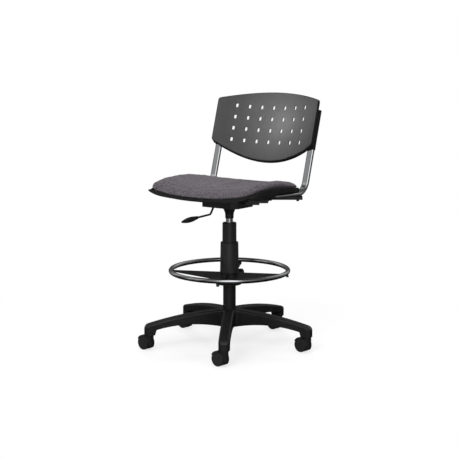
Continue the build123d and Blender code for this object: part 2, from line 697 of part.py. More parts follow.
def build_frame():
    plugs = []
    for name, side in (("left", 1), ("right", -1)):
        x = side * FRAME_X
        path = tube_path(x)
        outer = oval_sweep(x, OVAL_W, OVAL_T, path)
        inner = oval_sweep(x, OVAL_W - 2 * OVAL_WALL, OVAL_T - 2 * OVAL_WALL, path)
        tube = outer - inner
        tube -= rod(BOLT_HOLE_R, rail_z(ARM_BOLT_Y) - OVAL_T, rail_z(ARM_BOLT_Y), x, ARM_BOLT_Y)
        for hole in back_screw_holes(side):
            tube -= hole
        keep(f"back_tube_{name}", tube)
        for point, direction in ((path @ 0, (path % 0) * -1), (path @ 1, path % 1)):
            plane = Plane(origin=point, x_dir=(1, 0, 0), z_dir=direction)
            head = extrude(plane * SlotOverall(OVAL_W, OVAL_T), 2.0)
            stem = SlotOverall(OVAL_W - 2 * OVAL_WALL, OVAL_T - 2 * OVAL_WALL)
            plugs.append(head + extrude(plane * stem, -14))
    keep("tube_plugs", *plugs)


# ---------------------------------------------------------------- backrest
def back_plane():
    angle = radians(RECLINE)
    return Plane(origin=(0, BACK_Y, BACK_Z), x_dir=(1, 0, 0), z_dir=(0, -cos(angle), sin(angle)))


def back_outline(inset):
    x = BACK_R * sin(BACK_HALF_ARC / BACK_R)
    top = ThreePointArc((-x, BACK_TOP_CORNER), (0, BACK_TOP), (x, BACK_TOP_CORNER))
    right = Line((x, BACK_TOP_CORNER), (x, BACK_BOTTOM_CORNER))
    bottom = ThreePointArc((x, BACK_BOTTOM_CORNER), (0, BACK_BOTTOM), (-x, BACK_BOTTOM_CORNER))
    left = Line((-x, BACK_BOTTOM_CORNER), (-x, BACK_TOP_CORNER))
    face = fillet(make_face(Wire([top, right, bottom, left])).vertices(), BACK_CORNER_R)
    if inset:
        face = offset(face, -inset)
    return face


def bent(depth0, depth1):
    """Curved layer between two depths behind the front face, in the back's own frame."""
    drum = Rot(90, 0, 0) * Cylinder(BACK_R + depth1, 500)
    drum -= Rot(90, 0, 0) * Cylinder(BACK_R + depth0, 520)
    return Pos(0, 0, BACK_R) * drum & Pos(0, 0, 20) * Box(600, 500, 240)


def back_tube_offset():
    """Depth of the tube's centre line behind the middle of the front face."""
    corner, _ = tube_line()
    dy, dz = back_direction()
    return (corner[0] - BACK_Y) * dz - (corner[1] - BACK_Z) * dy


def back_screw_holes(side):
    """Holes for the backrest's screws in the rear wall of a tube."""
    centre = -back_tube_offset() - OVAL_T / 2
    at = [Pos(side * FRAME_X, y, centre) for y in BACK_SCREW_HEIGHTS]
    return [back_plane() * (place * Cylinder(BACK_SCREW_R + 0.1, OVAL_T - 1)) for place in at]


def build_back():
    plate = back_plane()
    outline = extrude(back_outline(0), 200, both=True)
    inner = extrude(back_outline(BACK_RIM_W), 210, both=True)
    panel = bent(0, BACK_T) & outline
    rim = (bent(0, BACK_RIM_DEPTH) & outline) - inner
    depth = back_tube_offset()
    sleeve_w = OVAL_W + 2 * SLEEVE_WALL
    sleeve_t = OVAL_T + 2 * SLEEVE_WALL
    body = panel + rim
    cuts = []
    screws = []
    length = SLEEVE_HIGH - SLEEVE_LOW
    for side in (-1, 1):
        x = side * FRAME_X
        place = Pos(x, SLEEVE_LOW, -depth) * Rot(-90, 0, 0)
        sleeve = place * extrude(SlotOverall(sleeve_w, sleeve_t), length)
        front = Pos(0, 0, BACK_R) * Rot(90, 0, 0) * Cylinder(BACK_R + BACK_T - 1, 600)
        for y in (SLEEVE_LOW + 22, SLEEVE_LOW + length / 2, SLEEVE_HIGH - 14):
            bridge = Pos(x - side * 2, y, -depth / 2 + 25) * Box(26, 3.0, depth + 50)
            body += (bridge - front) & extrude(back_outline(2), 200, both=True) & Pos(0, 0, 100 - depth) * Box(900, 900, 200)
        body += sleeve - front
        passage = extrude(SlotOverall(OVAL_W + 0.2, OVAL_T + 0.2), length - 3.0 + BACK_RIM_DEPTH)
        cuts.append(place * Pos(0, 0, -BACK_RIM_DEPTH) * passage)
        for y in BACK_SCREW_HEIGHTS:
            at = Pos(x, y, -depth - sleeve_t / 2)
            screw = at * Pos(0, 0, 3.0) * Cylinder(BACK_SCREW_R, 9.0)
            screw += at * Pos(0, 0, -1.3) * Cylinder(4.2, 2.6)
            screws.append(screw)
            cuts.append(at * Cylinder(BACK_SCREW_R + 0.1, 12))
    for cut in cuts:
        body -= cut
    hole = fillet(Rectangle(HOLE_W, HOLE_H).vertices(), HOLE_CORNER_R)
    punch = extrude(hole, 20, both=True)
    for i in range(HOLE_COLUMNS):
        angle = (i - (HOLE_COLUMNS - 1) / 2) * HOLE_PITCH_X / BACK_R
        x = BACK_R * sin(angle)
        z = BACK_R * (1 - cos(angle))
        for j in range(HOLE_ROWS):
            y = (j - (HOLE_ROWS - 1) / 2) * HOLE_PITCH_Y
            body -= Pos(x, y, z) * Rot(0, -angle * 180 / pi, 0) * punch
    keep("back_shell", plate * body)
    keep("back_screws", *[plate * s for s in screws])


# ---------------------------------------------------------------- mechanism
def corner_cut(extra):
    """Prism that takes off the box's front corner, grown by an extra thickness."""
    reach = BOX_CHAMFER + extra * 1.42
    at = (BOX_X1 - extra, BOX_Y0 + extra)
    size = reach - extra
    outline = [(at[0] - size, at[1]), (at[0] - size, at[1] - 30), (at[0] + 30, at[1] - 30),
               (at[0] + 30, at[1] + size), (at[0], at[1] + size)]
    return extrude(Pos(0, 0, BOX_Z0 - 5) * make_face(Polyline(*outline, close=True)), BOX_Z1 - BOX_Z0 + 30)


def build_mechanism():
    box = block(BOX_X0, BOX_X1, BOX_Y0, BOX_Y1, BOX_Z0, BOX_Z1)
    box -= corner_cut(0)
    corners = [e for e in box.edges().filter_by(Axis.Z) if e.center().X < 0 or e.center().Y > 0]
    box = fillet(corners, 6)
    room = block(BOX_X0 + STEEL_T, BOX_X1 - STEEL_T, BOX_Y0 + STEEL_T, BOX_Y1 - STEEL_T, BOX_Z0 + STEEL_T, BOX_Z1 + 9)
    box -= room - corner_cut(STEEL_T)
    for y0, y1 in ((BOX_Y0 - 22, BOX_Y0 + STEEL_T), (BOX_Y1 - STEEL_T, BOX_Y1 + 22)):
        flange = block(BOX_X0, FLANGE_X1, y0, y1, BOX_Z1, BOX_Z1 + STEEL_T)
        box += fillet(flange.edges().filter_by(Axis.Z), 1.0)
    bolts = []
    for x, y in seat_bolt_points():
        box -= rod(BOLT_HOLE_R, BOX_Z1 - 5, BOX_Z1 + 5, x, y)
        bolt = rod(BOLT_R, BOX_Z1 - 1, BOX_Z1 + SEAT_BOLT_REACH, x, y)
        bolt += extrude(Pos(x, y, BOX_Z1 - 4.2) * RegularPolygon(5.8, 6), 4.2)
        bolts.append(bolt)
    slot = block(LEVER_PIVOT[0] - 34, LEVER_PIVOT[0] - 4, -LEVER_R - 1.5, LEVER_R + 1.5, BOX_Z0 - 1, BOX_Z0 + 4)
    box -= slot
    box -= rod(CYLINDER_R + 2.5, BOX_Z0 - 1, BOX_Z0 + 4)
    for side in (-1, 1):
        y0, y1 = (5.4, 8.4) if side > 0 else (-8.4, -5.4)
        ear = block(LEVER_PIVOT[0] - 7, LEVER_PIVOT[0] + 7, y0, y1, BOX_Z0 + STEEL_T, LEVER_PIVOT[2] + 7)
        ear -= Pos(*LEVER_PIVOT) * Rot(90, 0, 0) * Cylinder(LEVER_PIN_R, 40)
        box += ear
    for side in (-1, 1):
        box -= arm_bar_hole(side)
        box += gusset(side)
        for point in gusset_points(side):
            box -= rod(BOLT_HOLE_R, BOX_Z0 + 4, BOX_Z1 - 3, point.X, point.Y)
    keep("mechanism_box", box)
    keep("seat_bolts", *bolts)
    cone = revolved([
        (CYLINDER_R, CONE_BOTTOM_Z), (CYLINDER_R + 2.2, CONE_BOTTOM_Z), (CYLINDER_R + 2.8, 522),
        (CYLINDER_R + 4.5, 531), (CYLINDER_R + 9, 541), (CYLINDER_R + 14.5, BOX_Z0),
        (CYLINDER_R + 2.5, BOX_Z0), (CYLINDER_R + 2.5, BOX_Z0 + 5), (CYLINDER_R, BOX_Z0 + 5),
    ])
    keep("taper_socket", cone)
    pin = Pos(*LEVER_PIVOT) * Rot(90, 0, 0) * Cylinder(LEVER_PIN_R, 19.0)
    keep("lever_pin", pin)


def arm_bar_ends(side):
    start = Vector(side * 60.0, 40.0, rail_z(ARM_END_Y + 12) - OVAL_T / 2 - GAP - ARM_BAR_H / 2)
    end = Vector(side * (FRAME_X + 3), ARM_END_Y, start.Z)
    return start, end


def gusset_points(side):
    """Two bolts through an arm bar and the gusset under it, near the box."""
    start, end = arm_bar_ends(side)
    along = (end - start).normalized()
    return [start + along * distance for distance in GUSSET_BOLTS]


def gusset(side):
    """Plate welded to the box's side that carries an arm bar from below."""
    start, end = arm_bar_ends(side)
    plane = Plane(origin=start, x_dir=end - start, z_dir=(0, 0, 1))
    low = -ARM_BAR_H / 2
    plate = plane * block(-20, GUSSET_END, -ARM_BAR_W / 2, ARM_BAR_W / 2, low - GUSSET_T, low)
    for reach, bottom in GUSSET_STEPS:
        for edge in (-1, 1):
            y = edge * (ARM_BAR_W - GUSSET_T) / 2
            plate += plane * block(-20, reach, y - GUSSET_T / 2, y + GUSSET_T / 2, bottom - start.Z, low)
    inside = block(BOX_X0 + 1, BOX_X1 - 1, BOX_Y0, BOX_Y1 - 1, 0, 900)
    return plate - inside


def arm_bar_hole(side):
    start, end = arm_bar_ends(side)
    plane = Plane(origin=start, x_dir=(0, 0, 1), z_dir=end - start)
    return extrude(plane * Rectangle(ARM_BAR_H + 0.4, ARM_BAR_W + 0.4), 60)


def build_arm_bars():
    """Two steel bars from the mechanism out to the rear corners, under the tubes."""
    caps = []
    bolts = []
    for name, side in (("left", 1), ("right", -1)):
        start, end = arm_bar_ends(side)
        length = (end - start).length
        plane = Plane(origin=start, x_dir=(0, 0, 1), z_dir=end - start)
        section = fillet(Rectangle(ARM_BAR_H, ARM_BAR_W).vertices(), 3)
        inner = Rectangle(ARM_BAR_H - 2 * ARM_BAR_WALL, ARM_BAR_W - 2 * ARM_BAR_WALL)
        bar = extrude(plane * section, length) - extrude(plane * inner, length)
        x, y = side * FRAME_X, ARM_BOLT_Y
        hole_z = start.Z
        bar -= rod(BOLT_HOLE_R, hole_z - 20, hole_z + 20, x, y)
        for point in gusset_points(side):
            x, y = point.X, point.Y
            bar -= rod(BOLT_HOLE_R, hole_z - 20, hole_z + 20, x, y)
            low = hole_z - ARM_BAR_H / 2 - GUSSET_T
            bolt = rod(BOLT_R, low - 6, hole_z + ARM_BAR_H / 2 + 1, x, y)
            bolt += extrude(Pos(x, y, low - 4.8) * RegularPolygon(6.2, 6), 4.8)
            bolts.append(bolt)
        keep(f"rear_arm_{name}", bar)
        cap_plane = Plane(origin=end, x_dir=(0, 0, 1), z_dir=end - start)
        cap = extrude(cap_plane * section, 3.5)
        cap = fillet(cap.faces().sort_by(Axis(end, end - start))[-1].edges(), 1.5)
        cap += extrude(cap_plane * Rectangle(ARM_BAR_H - 2 * ARM_BAR_WALL - 0.2, ARM_BAR_W - 2 * ARM_BAR_WALL - 0.2), -10)
        caps.append(cap)
        x, y = side * FRAME_X, ARM_BOLT_Y
        bolt = rod(BOLT_R, hole_z - ARM_BAR_H / 2 - 1, rail_z(y) + OVAL_T / 2 - OVAL_WALL - 3, x, y)
        bolt += extrude(Pos(x, y, hole_z - ARM_BAR_H / 2 - 4.2) * RegularPolygon(5.8, 6), 4.2)
        bolts.append(bolt)
    keep("arm_caps", *caps)
    keep("arm_bolts", *bolts)


def lever_points():
    x, y, z = LEVER_PIVOT
    return [(7.0, y, z + 4.3), (-18.0, y, z + 4.3), (x, y, z), (-79.0, y, 541.0), (-93.0, y, 513.5), (-160.0, y, 494.5)]


def build_lever():
    points = lever_points()
    path = FilletPolyline(*[Vector(*p) for p in points], radius=9)
    start = path @ 0
    wire = sweep(Plane(origin=start, z_dir=path % 0) * Circle(LEVER_R), path=path)
    eye = Pos(*LEVER_PIVOT) * Rot(90, 0, 0) * Cylinder(7, 8.6)
    wire += eye
    wire -= Pos(*LEVER_PIVOT) * Rot(90, 0, 0) * Cylinder(LEVER_PIN_R + RUN_CLEAR, 40)
    keep("lever_rod", wire)
    a = Vector(*points[-1])
    b = Vector(-236.0, 0, 470.0)
    along = (b - a).normalized()
    plane = Plane(origin=a - along * 3, x_dir=(0, 1, 0), z_dir=along)
    length = (b - a).length
    sections = [
        plane * Ellipse(6.5, 6.0),
        plane.offset(10) * Ellipse(8.5, 7.5),
        plane.offset(32) * Ellipse(13.5, 10.5),
        plane.offset(length - 12) * Ellipse(12.0, 7.5),
        plane.offset(length) * Ellipse(8.5, 4.5),
    ]
    handle = loft(sections)
    handle -= sweep(Plane(origin=start, z_dir=path % 0) * Circle(LEVER_R), path=path)
    keep("lever_handle", handle)


def main():
    os.makedirs("parts", exist_ok=True)
    build_base()
    build_casters()
    build_column()
    build_covers()
    build_foot_ring()
    build_seat()
    build_frame()
    build_back()
    build_mechanism()
    build_arm_bars()
    build_lever()
    for name, shape in NODES.items():
        export_step(shape, f"parts/{name}.step")
    print(len(NODES), "nodes")


main()
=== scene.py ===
"""Looks for the drafting chair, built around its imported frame."""

import json
import math

import bmesh
import bpy
from mathutils import Matrix, Vector, noise


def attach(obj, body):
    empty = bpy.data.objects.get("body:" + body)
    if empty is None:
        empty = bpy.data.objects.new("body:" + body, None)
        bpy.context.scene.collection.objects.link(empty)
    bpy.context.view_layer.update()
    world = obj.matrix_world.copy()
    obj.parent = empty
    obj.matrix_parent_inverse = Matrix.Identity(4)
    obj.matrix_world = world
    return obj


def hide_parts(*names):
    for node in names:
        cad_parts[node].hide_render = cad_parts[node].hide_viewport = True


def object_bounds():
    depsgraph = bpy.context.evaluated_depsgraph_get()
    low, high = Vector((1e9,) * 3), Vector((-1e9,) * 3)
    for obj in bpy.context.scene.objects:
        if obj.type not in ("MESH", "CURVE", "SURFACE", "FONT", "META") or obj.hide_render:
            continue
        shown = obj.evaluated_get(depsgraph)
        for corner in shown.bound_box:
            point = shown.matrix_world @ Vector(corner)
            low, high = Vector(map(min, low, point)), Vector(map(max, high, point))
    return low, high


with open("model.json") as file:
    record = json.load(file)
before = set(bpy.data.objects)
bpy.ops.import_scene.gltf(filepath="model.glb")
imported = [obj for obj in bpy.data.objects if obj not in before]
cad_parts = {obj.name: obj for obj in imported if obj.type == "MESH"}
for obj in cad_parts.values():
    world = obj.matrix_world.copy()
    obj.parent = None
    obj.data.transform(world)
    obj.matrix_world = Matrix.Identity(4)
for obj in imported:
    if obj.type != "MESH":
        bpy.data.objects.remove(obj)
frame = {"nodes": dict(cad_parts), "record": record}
cad_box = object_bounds()
NODES = frame["nodes"]
scene = bpy.context.scene
MM = 0.001

# ---------------------------------------------------------------- node materials
WEAVE_SCALE = 150.0
# Centre and reach, in metres, of the painted sheen on the backrest's front.
BACK_SHEEN_AT = (0.06, 0.28, 0.862)
BACK_SHEEN_REACH = (0.02, 0.27)


def ramp_node(tree, stops):
    """Colour ramp node with the given (place, colour) stops."""
    node = tree.nodes.new("ShaderNodeValToRGB")
    elements = node.color_ramp.elements
    while len(elements) < len(stops):
        elements.new(0.5)
    for element, (place, colour) in zip(elements, stops):
        element.position = place
        element.color = (*colour, 1.0)
    return node


class Paint:
    """One node material under construction."""

    def __init__(self, name, roughness, metallic=0.0):
        self.mat = bpy.data.materials.new(name)
        self.mat.use_nodes = True
        self.tree = self.mat.node_tree
        self.shader = self.tree.nodes["Principled BSDF"]
        self.shader.inputs["Roughness"].default_value = roughness
        self.shader.inputs["Metallic"].default_value = metallic
        self.coord = self.tree.nodes.new("ShaderNodeTexCoord").outputs["Object"]
        self.height = None

    def link(self, a, b):
        self.tree.links.new(a, b)

    def stretched(self, scale):
        """Object coordinates scaled by different amounts along X, Y and Z."""
        node = self.tree.nodes.new("ShaderNodeMapping")
        node.inputs["Scale"].default_value = scale
        self.link(self.coord, node.inputs["Vector"])
        return node.outputs["Vector"]

    def noise(self, scale, detail=3.0, rough=0.5, stretch=None, distortion=0.0):
        node = self.tree.nodes.new("ShaderNodeTexNoise")
        node.inputs["Scale"].default_value = scale
        node.inputs["Detail"].default_value = detail
        node.inputs["Roughness"].default_value = rough
        node.inputs["Distortion"].default_value = distortion
        self.link(self.stretched(stretch) if stretch else self.coord, node.inputs["Vector"])
        return node.outputs["Fac"]

    def voronoi(self, scale):
        node = self.tree.nodes.new("ShaderNodeTexVoronoi")
        node.inputs["Scale"].default_value = scale
        self.link(self.coord, node.inputs["Vector"])
        return node.outputs["Distance"]

    def bands(self, direction, scale, distortion=0.4):
        node = self.tree.nodes.new("ShaderNodeTexWave")
        node.wave_type = "BANDS"
        node.bands_direction = direction
        node.inputs["Scale"].default_value = scale
        node.inputs["Distortion"].default_value = distortion
        node.inputs["Detail"].default_value = 1.0
        node.inputs["Detail Scale"].default_value = 2.0
        self.link(self.coord, node.inputs["Vector"])
        return node.outputs["Fac"]

    def math(self, kind, a, b):
        node = self.tree.nodes.new("ShaderNodeMath")
        node.operation = kind
        for socket, value in zip(node.inputs, (a, b)):
            if isinstance(value, (int, float)):
                socket.default_value = value
            else:
                self.link(value, socket)
        return node.outputs[0]

    def ranged(self, value, low, high, from_low=0.3, from_high=0.7):
        node = self.tree.nodes.new("ShaderNodeMapRange")
        node.inputs["From Min"].default_value = from_low
        node.inputs["From Max"].default_value = from_high
        node.inputs["To Min"].default_value = low
        node.inputs["To Max"].default_value = high
        self.link(value, node.inputs["Value"])
        return node.outputs["Result"]

    def ramp(self, value, stops):
        node = ramp_node(self.tree, stops)
        self.link(value, node.inputs["Fac"])
        return node.outputs["Color"]

    def colour(self, value, stops):
        self.link(self.ramp(value, stops), self.shader.inputs["Base Color"])

    def rough(self, value, low, high):
        self.link(self.ranged(value, low, high), self.shader.inputs["Roughness"])

    def bump(self, value, strength, distance):
        node = self.tree.nodes.new("ShaderNodeBump")
        node.inputs["Strength"].default_value = strength
        node.inputs["Distance"].default_value = distance
        self.link(value, node.inputs["Height"])
        if self.height is not None:
            self.link(self.height, node.inputs["Normal"])
        self.height = node.outputs["Normal"]
        self.link(self.height, self.shader.inputs["Normal"])

def grey(value, tint=0.0):
    return (value, value, value * (1 + tint))


def plastic(name, low, high, roughness, grain=900.0, grain_depth=0.00012, tint=0.02, specular=0.5):
    """Moulded plastic between two greys: fine grain, slow colour drift and handling marks in its gloss."""
    p = Paint(name, roughness)
    p.shader.inputs["Specular IOR Level"].default_value = specular
    p.colour(p.noise(9.0, 4.0, 0.6), [(0.3, grey(low, tint)), (0.7, grey(high, tint))])
    p.rough(p.noise(38.0, 5.0, 0.65), roughness - 0.06, roughness + 0.07)
    p.bump(p.noise(grain, 2.0, 0.5), 0.35, grain_depth)
    p.bump(p.noise(26.0, 2.0, 0.4), 0.12, 0.0006)
    return p.mat


def back_plastic(name):
    """Grained plastic of the backrest: speckled, and paler round one spot where a broad sheen is painted
    in.
    """
    p = Paint(name, 0.5)
    p.shader.inputs["Specular IOR Level"].default_value = 0.4
    # Painted sheen: the colour pales towards one spot on the backrest's front.
    place = p.tree.nodes.new("ShaderNodeVectorMath")
    place.operation = "DISTANCE"
    place.inputs[1].default_value = BACK_SHEEN_AT
    p.link(p.coord, place.inputs[0])
    painted_sheen = p.ranged(place.outputs["Value"], 1.0, 0.0, *BACK_SHEEN_REACH)
    speckle = p.math("MULTIPLY", p.math("SUBTRACT", p.noise(330.0, 3.0, 0.7), 0.5), 0.6)
    drift = p.math("MULTIPLY", p.math("SUBTRACT", p.noise(7.0, 3.0, 0.5), 0.5), 0.3)
    shade = p.math("ADD", painted_sheen, p.math("ADD", speckle, drift))
    p.colour(shade, [(0.0, grey(0.042)), (0.3, grey(0.06)), (0.75, grey(0.108)), (1.0, grey(0.16))])
    p.rough(p.noise(38.0, 5.0, 0.65), 0.42, 0.56)
    p.bump(p.noise(620.0, 2.0, 0.5), 0.4, 0.0003)
    return p.mat


def metal(name, colour, roughness, brushed=None, spread=0.05):
    """Plated metal: slow gloss drift, faint dulled spots and, where asked, a brushed direction."""
    p = Paint(name, roughness, 1.0)
    darker = tuple(c * 0.9 for c in colour)
    p.colour(p.noise(14.0, 3.0, 0.6), [(0.3, darker), (0.7, colour)])
    p.rough(p.noise(120.0, 4.0, 0.6, stretch=brushed), roughness - spread * 0.5, roughness + spread)
    p.bump(p.noise(420.0, 2.0, 0.5, stretch=brushed), 0.05, 0.00005)
    return p.mat


def powder_coat(name, value, roughness):
    """Black powder coat with its orange-peel surface."""
    p = Paint(name, roughness)
    p.colour(p.noise(12.0, 4.0, 0.6), [(0.3, grey(value)), (0.75, grey(value * 1.7))])
    p.rough(p.noise(60.0, 4.0, 0.6), roughness - 0.06, roughness + 0.08)
    p.bump(p.voronoi(520.0), 0.22, 0.00016)
    return p.mat


def fabric(name):
    """Woven upholstery: crossing threads in three directions, yarn slubs and a soft sheen."""
    p = Paint(name, 0.92)
    s = p.shader.inputs
    s["Sheen Weight"].default_value = 0.14
    s["Sheen Roughness"].default_value = 0.45
    s["Sheen Tint"].default_value = (0.9, 0.86, 0.9, 1.0)
    s["Specular IOR Level"].default_value = 0.2
    x = p.bands("X", WEAVE_SCALE)
    y = p.bands("Y", WEAVE_SCALE)
    z = p.bands("Z", WEAVE_SCALE)
    cross = p.math("ADD", p.math("MULTIPLY", x, y), p.math("MULTIPLY", z, 0.55))
    yarn = p.noise(640.0, 3.0, 0.6)
    slub = p.noise(170.0, 4.0, 0.7)
    weave = p.math("ADD", p.math("MULTIPLY", cross, 0.6), p.math("MULTIPLY", yarn, 0.5))
    blotches = p.math("MULTIPLY", slub, 1.8)
    shade = p.math("SUBTRACT", p.math("ADD", p.math("MULTIPLY", weave, 0.45), blotches), 0.6)
    p.colour(shade, [
        (0.28, (0.03, 0.0265, 0.0305)), (0.46, (0.06, 0.053, 0.0605)),
        (0.62, (0.092, 0.082, 0.0925)), (0.85, (0.15, 0.135, 0.15)),
    ])
    p.bump(weave, 0.75, 0.0008)
    p.bump(slub, 0.5, 0.0012)
    p.bump(p.noise(30.0, 3.0, 0.5), 0.2, 0.002)
    return p.mat


def plywood(name):
    """Seat board: grain that runs along X, in thin layers one above the other."""
    p = Paint(name, 0.6)
    grain = p.noise(24.0, 4.0, 0.6, stretch=(1.0, 6.0, 60.0))
    p.colour(grain, [(0.3, (0.3, 0.2, 0.11)), (0.7, (0.55, 0.41, 0.26))])
    p.bump(p.noise(90.0, 3.0, 0.6, stretch=(1.0, 12.0, 40.0)), 0.2, 0.0003)
    return p.mat


MATS = {
    "nylon_black": plastic("nylon_black", 0.006, 0.011, 0.4),
    "wheel_nylon": plastic("wheel_nylon", 0.012, 0.02, 0.36, grain=700.0, specular=0.55),
    "cover_plastic": plastic("cover_plastic", 0.01, 0.015, 0.34, grain=1100.0, grain_depth=0.00008),
    "shell_plastic": plastic(
        "shell_plastic", 0.006, 0.011, 0.5, grain=800.0, grain_depth=0.00018, specular=0.22),
    "back_plastic": back_plastic("back_plastic"),
    "bush_plastic": plastic("bush_plastic", 0.5, 0.6, 0.4, tint=-0.08),
    "chrome": metal("chrome", (0.7, 0.71, 0.72), 0.12),
    "steel_plain": metal("steel_plain", (0.5, 0.5, 0.5), 0.3, brushed=(1.0, 1.0, 12.0)),
    "bolt_zinc": metal("bolt_zinc", (0.12, 0.12, 0.125), 0.38),
    "steel_black": powder_coat("steel_black", 0.006, 0.36),
    "seat_fabric": fabric("seat_fabric"),
    "board_wood": plywood("board_wood"),
}


def dress(obj, slot):
    """Give an object the one material of a slot."""
    obj.data.materials.clear()
    obj.data.materials.append(MATS[slot])


SLOT_OF = {part["node"]: part["material_slot"] for part in frame["record"]["subparts"]}
for name, obj in NODES.items():
    dress(obj, SLOT_OF[name])


# ---------------------------------------------------------------- mesh helpers
def mesh_object(name, verts, faces, slot, body):
    """Smooth-shaded piece from points and faces, riding on a body."""
    mesh = bpy.data.meshes.new(name)
    mesh.from_pydata([tuple(v) for v in verts], [], faces)
    bm = bmesh.new()
    bm.from_mesh(mesh)
    bmesh.ops.recalc_face_normals(bm, faces=bm.faces)
    bm.to_mesh(mesh)
    bm.free()
    for polygon in mesh.polygons:
        polygon.use_smooth = True
    obj = bpy.data.objects.new(name, mesh)
    scene.collection.objects.link(obj)
    mesh.materials.append(MATS[slot])
    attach(obj, body)
    return obj


def apply_modifiers(obj):
    """Swap the object's mesh for its evaluated one."""
    graph = bpy.context.evaluated_depsgraph_get()
    mesh = bpy.data.meshes.new_from_object(obj.evaluated_get(graph))
    obj.modifiers.clear()
    obj.data = mesh


def mark_sharp(obj, degrees):
    """Shade as sharp each edge whose faces turn by more than an angle."""
    obj.data.set_sharp_from_angle(angle=math.radians(degrees))


def between(table, at):
    """Value at a place in a short table of (place, value) pairs, by straight lines."""
    if at <= table[0][0]:
        return table[0][1]
    for (a, va), (b, vb) in zip(table, table[1:]):
        if at <= b:
            return va + (vb - va) * (at - a) / (b - a)
    return table[-1][1]


def smoothly_between(table, at):
    """The same, with a level tangent at each pair."""
    if at <= table[0][0]:
        return table[0][1]
    for (a, va), (b, vb) in zip(table, table[1:]):
        if at <= b:
            t = (at - a) / (b - a)
            return va + (vb - va) * t * t * (3 - 2 * t)
    return table[-1][1]


def ease(value, low, high):
    """Smooth step from 0 at low to 1 at high."""
    t = min(1.0, max(0.0, (value - low) / (high - low)))
    return t * t * (3 - 2 * t)


def bridge(faces, loops):
    """Join each loop of points to the next with four-sided faces."""
    for a, b in zip(loops, loops[1:]):
        for k in range(len(a)):
            n = (k + 1) % len(a)
            faces.append((a[k], a[n], b[n], b[k]))


def box_into(verts, faces, x0, x1, y0, y1, z0, z1, place=None):
    """One closed box in millimetres; its lowest and highest z may be functions of x and y."""
    start = len(verts)
    for z in (z0, z1):
        for x, y in ((x0, y0), (x1, y0), (x1, y1), (x0, y1)):
            p = Vector((x, y, z(x, y) if callable(z) else z))
            verts.append((place @ p if place else p) * MM)
    for face in ((0, 3, 2, 1), (4, 5, 6, 7), (0, 1, 5, 4), (1, 2, 6, 5), (2, 3, 7, 6), (3, 0, 4, 7)):
        faces.append(tuple(start + i for i in face))


# ---------------------------------------------------------------- camera, floor, light
CAMERA_AT = (2.549, -3.492, 1.1336)
CAMERA_TURN = 36.12
CAMERA_PITCH = 8.81
CAMERA_LENS = 88.16
CAMERA_SHIFT = -0.0013
FLOOR_HALF = 14.0
FLOOR_GLOW = 0.72
FLOOR_GLOW_FROM, FLOOR_GLOW_TO = 0.45, 1.3
FLOOR_NEAR_LEVEL, FLOOR_FAR_LEVEL = 0.03, 0.4
FLOOR_MIRROR_FROM, FLOOR_MIRROR_TO = 0.9, 3.2
ROOM_HEIGHTS = [
    (0.0, 0.03), (0.42, 0.1), (0.5, 0.42), (0.6, 0.5), (0.74, 0.95), (0.85, 0.75), (0.94, 0.4), (1.0, 0.35),
]
ROOM_CARDS = [
    (-180, 0.6), (-160, 0.08), (-142, 0.3), (-136, 0.9), (-127, 0.25), (-119, 0.8), (-106, 0.12),
    (-80, 0.5), (-66, 1.8), (-42, 1.8), (-26, 0.35), (20, 0.1), (44, 0.2), (62, 0.25), (76, 0.5),
    (96, 0.6), (112, 0.15), (150, 0.2), (180, 0.7),
]
CARD_PEAK = 1.8
LIGHTS_AIM = (0, 0, 0.6)

camera_data = bpy.data.cameras.new("camera")
camera_data.lens = CAMERA_LENS
camera_data.sensor_width = 36.0
camera_data.shift_x = CAMERA_SHIFT
camera_data.clip_end = 60.0
camera = bpy.data.objects.new("camera", camera_data)
camera.location = CAMERA_AT
camera.rotation_euler = (math.radians(90 - CAMERA_PITCH), 0, math.radians(CAMERA_TURN))
scene.collection.objects.link(camera)
scene.camera = camera
scene.view_settings.view_transform = "Standard"
scene.view_settings.look = "None"


def floor_material():
    """Pale paper floor. Reflections see it dark near the object, and lit by the cards further off."""
    p = Paint("studio_floor", 0.8)
    new = p.tree.nodes.new
    p.shader.inputs["Specular IOR Level"].default_value = 0.1
    p.colour(p.noise(1.5, 3.0, 0.5), [(0.3, grey(0.93)), (0.7, grey(0.95))])
    length = new("ShaderNodeVectorMath")
    length.operation = "LENGTH"
    p.link(p.coord, length.inputs[0])
    far = length.outputs["Value"]
    path = new("ShaderNodeLightPath").outputs
    white = new("ShaderNodeEmission")
    glow = new("ShaderNodeMixShader")
    share = p.ranged(far, FLOOR_GLOW, 1.0, FLOOR_GLOW_FROM, FLOOR_GLOW_TO)
    p.link(p.math("MULTIPLY", share, path["Is Camera Ray"]), glow.inputs["Fac"])
    p.link(p.shader.outputs["BSDF"], glow.inputs[1])
    p.link(white.outputs["Emission"], glow.inputs[2])
    split = new("ShaderNodeSeparateXYZ")
    p.link(p.coord, split.inputs["Vector"])
    mirrored = new("ShaderNodeEmission")
    p.link(card_level(p.tree, split), mirrored.inputs["Color"])
    level = p.ranged(
        far, FLOOR_NEAR_LEVEL, FLOOR_FAR_LEVEL * CARD_PEAK, FLOOR_MIRROR_FROM, FLOOR_MIRROR_TO)
    p.link(level, mirrored.inputs["Strength"])
    chosen = new("ShaderNodeMixShader")
    p.link(path["Is Glossy Ray"], chosen.inputs["Fac"])
    p.link(glow.outputs["Shader"], chosen.inputs[1])
    p.link(mirrored.outputs["Emission"], chosen.inputs[2])
    p.link(chosen.outputs["Shader"], p.tree.nodes["Material Output"].inputs["Surface"])
    return p.mat


def build_floor():
    corners = [(x * FLOOR_HALF, y * FLOOR_HALF, 0) for x, y in ((-1, -1), (1, -1), (1, 1), (-1, 1))]
    mesh = bpy.data.meshes.new("studio_floor")
    mesh.from_pydata(corners, [], [(0, 1, 2, 3)])
    mesh.materials.append(floor_material())
    obj = bpy.data.objects.new("studio_floor", mesh)
    obj.location = (0, 0, cad_box[0][2])
    scene.collection.objects.link(obj)


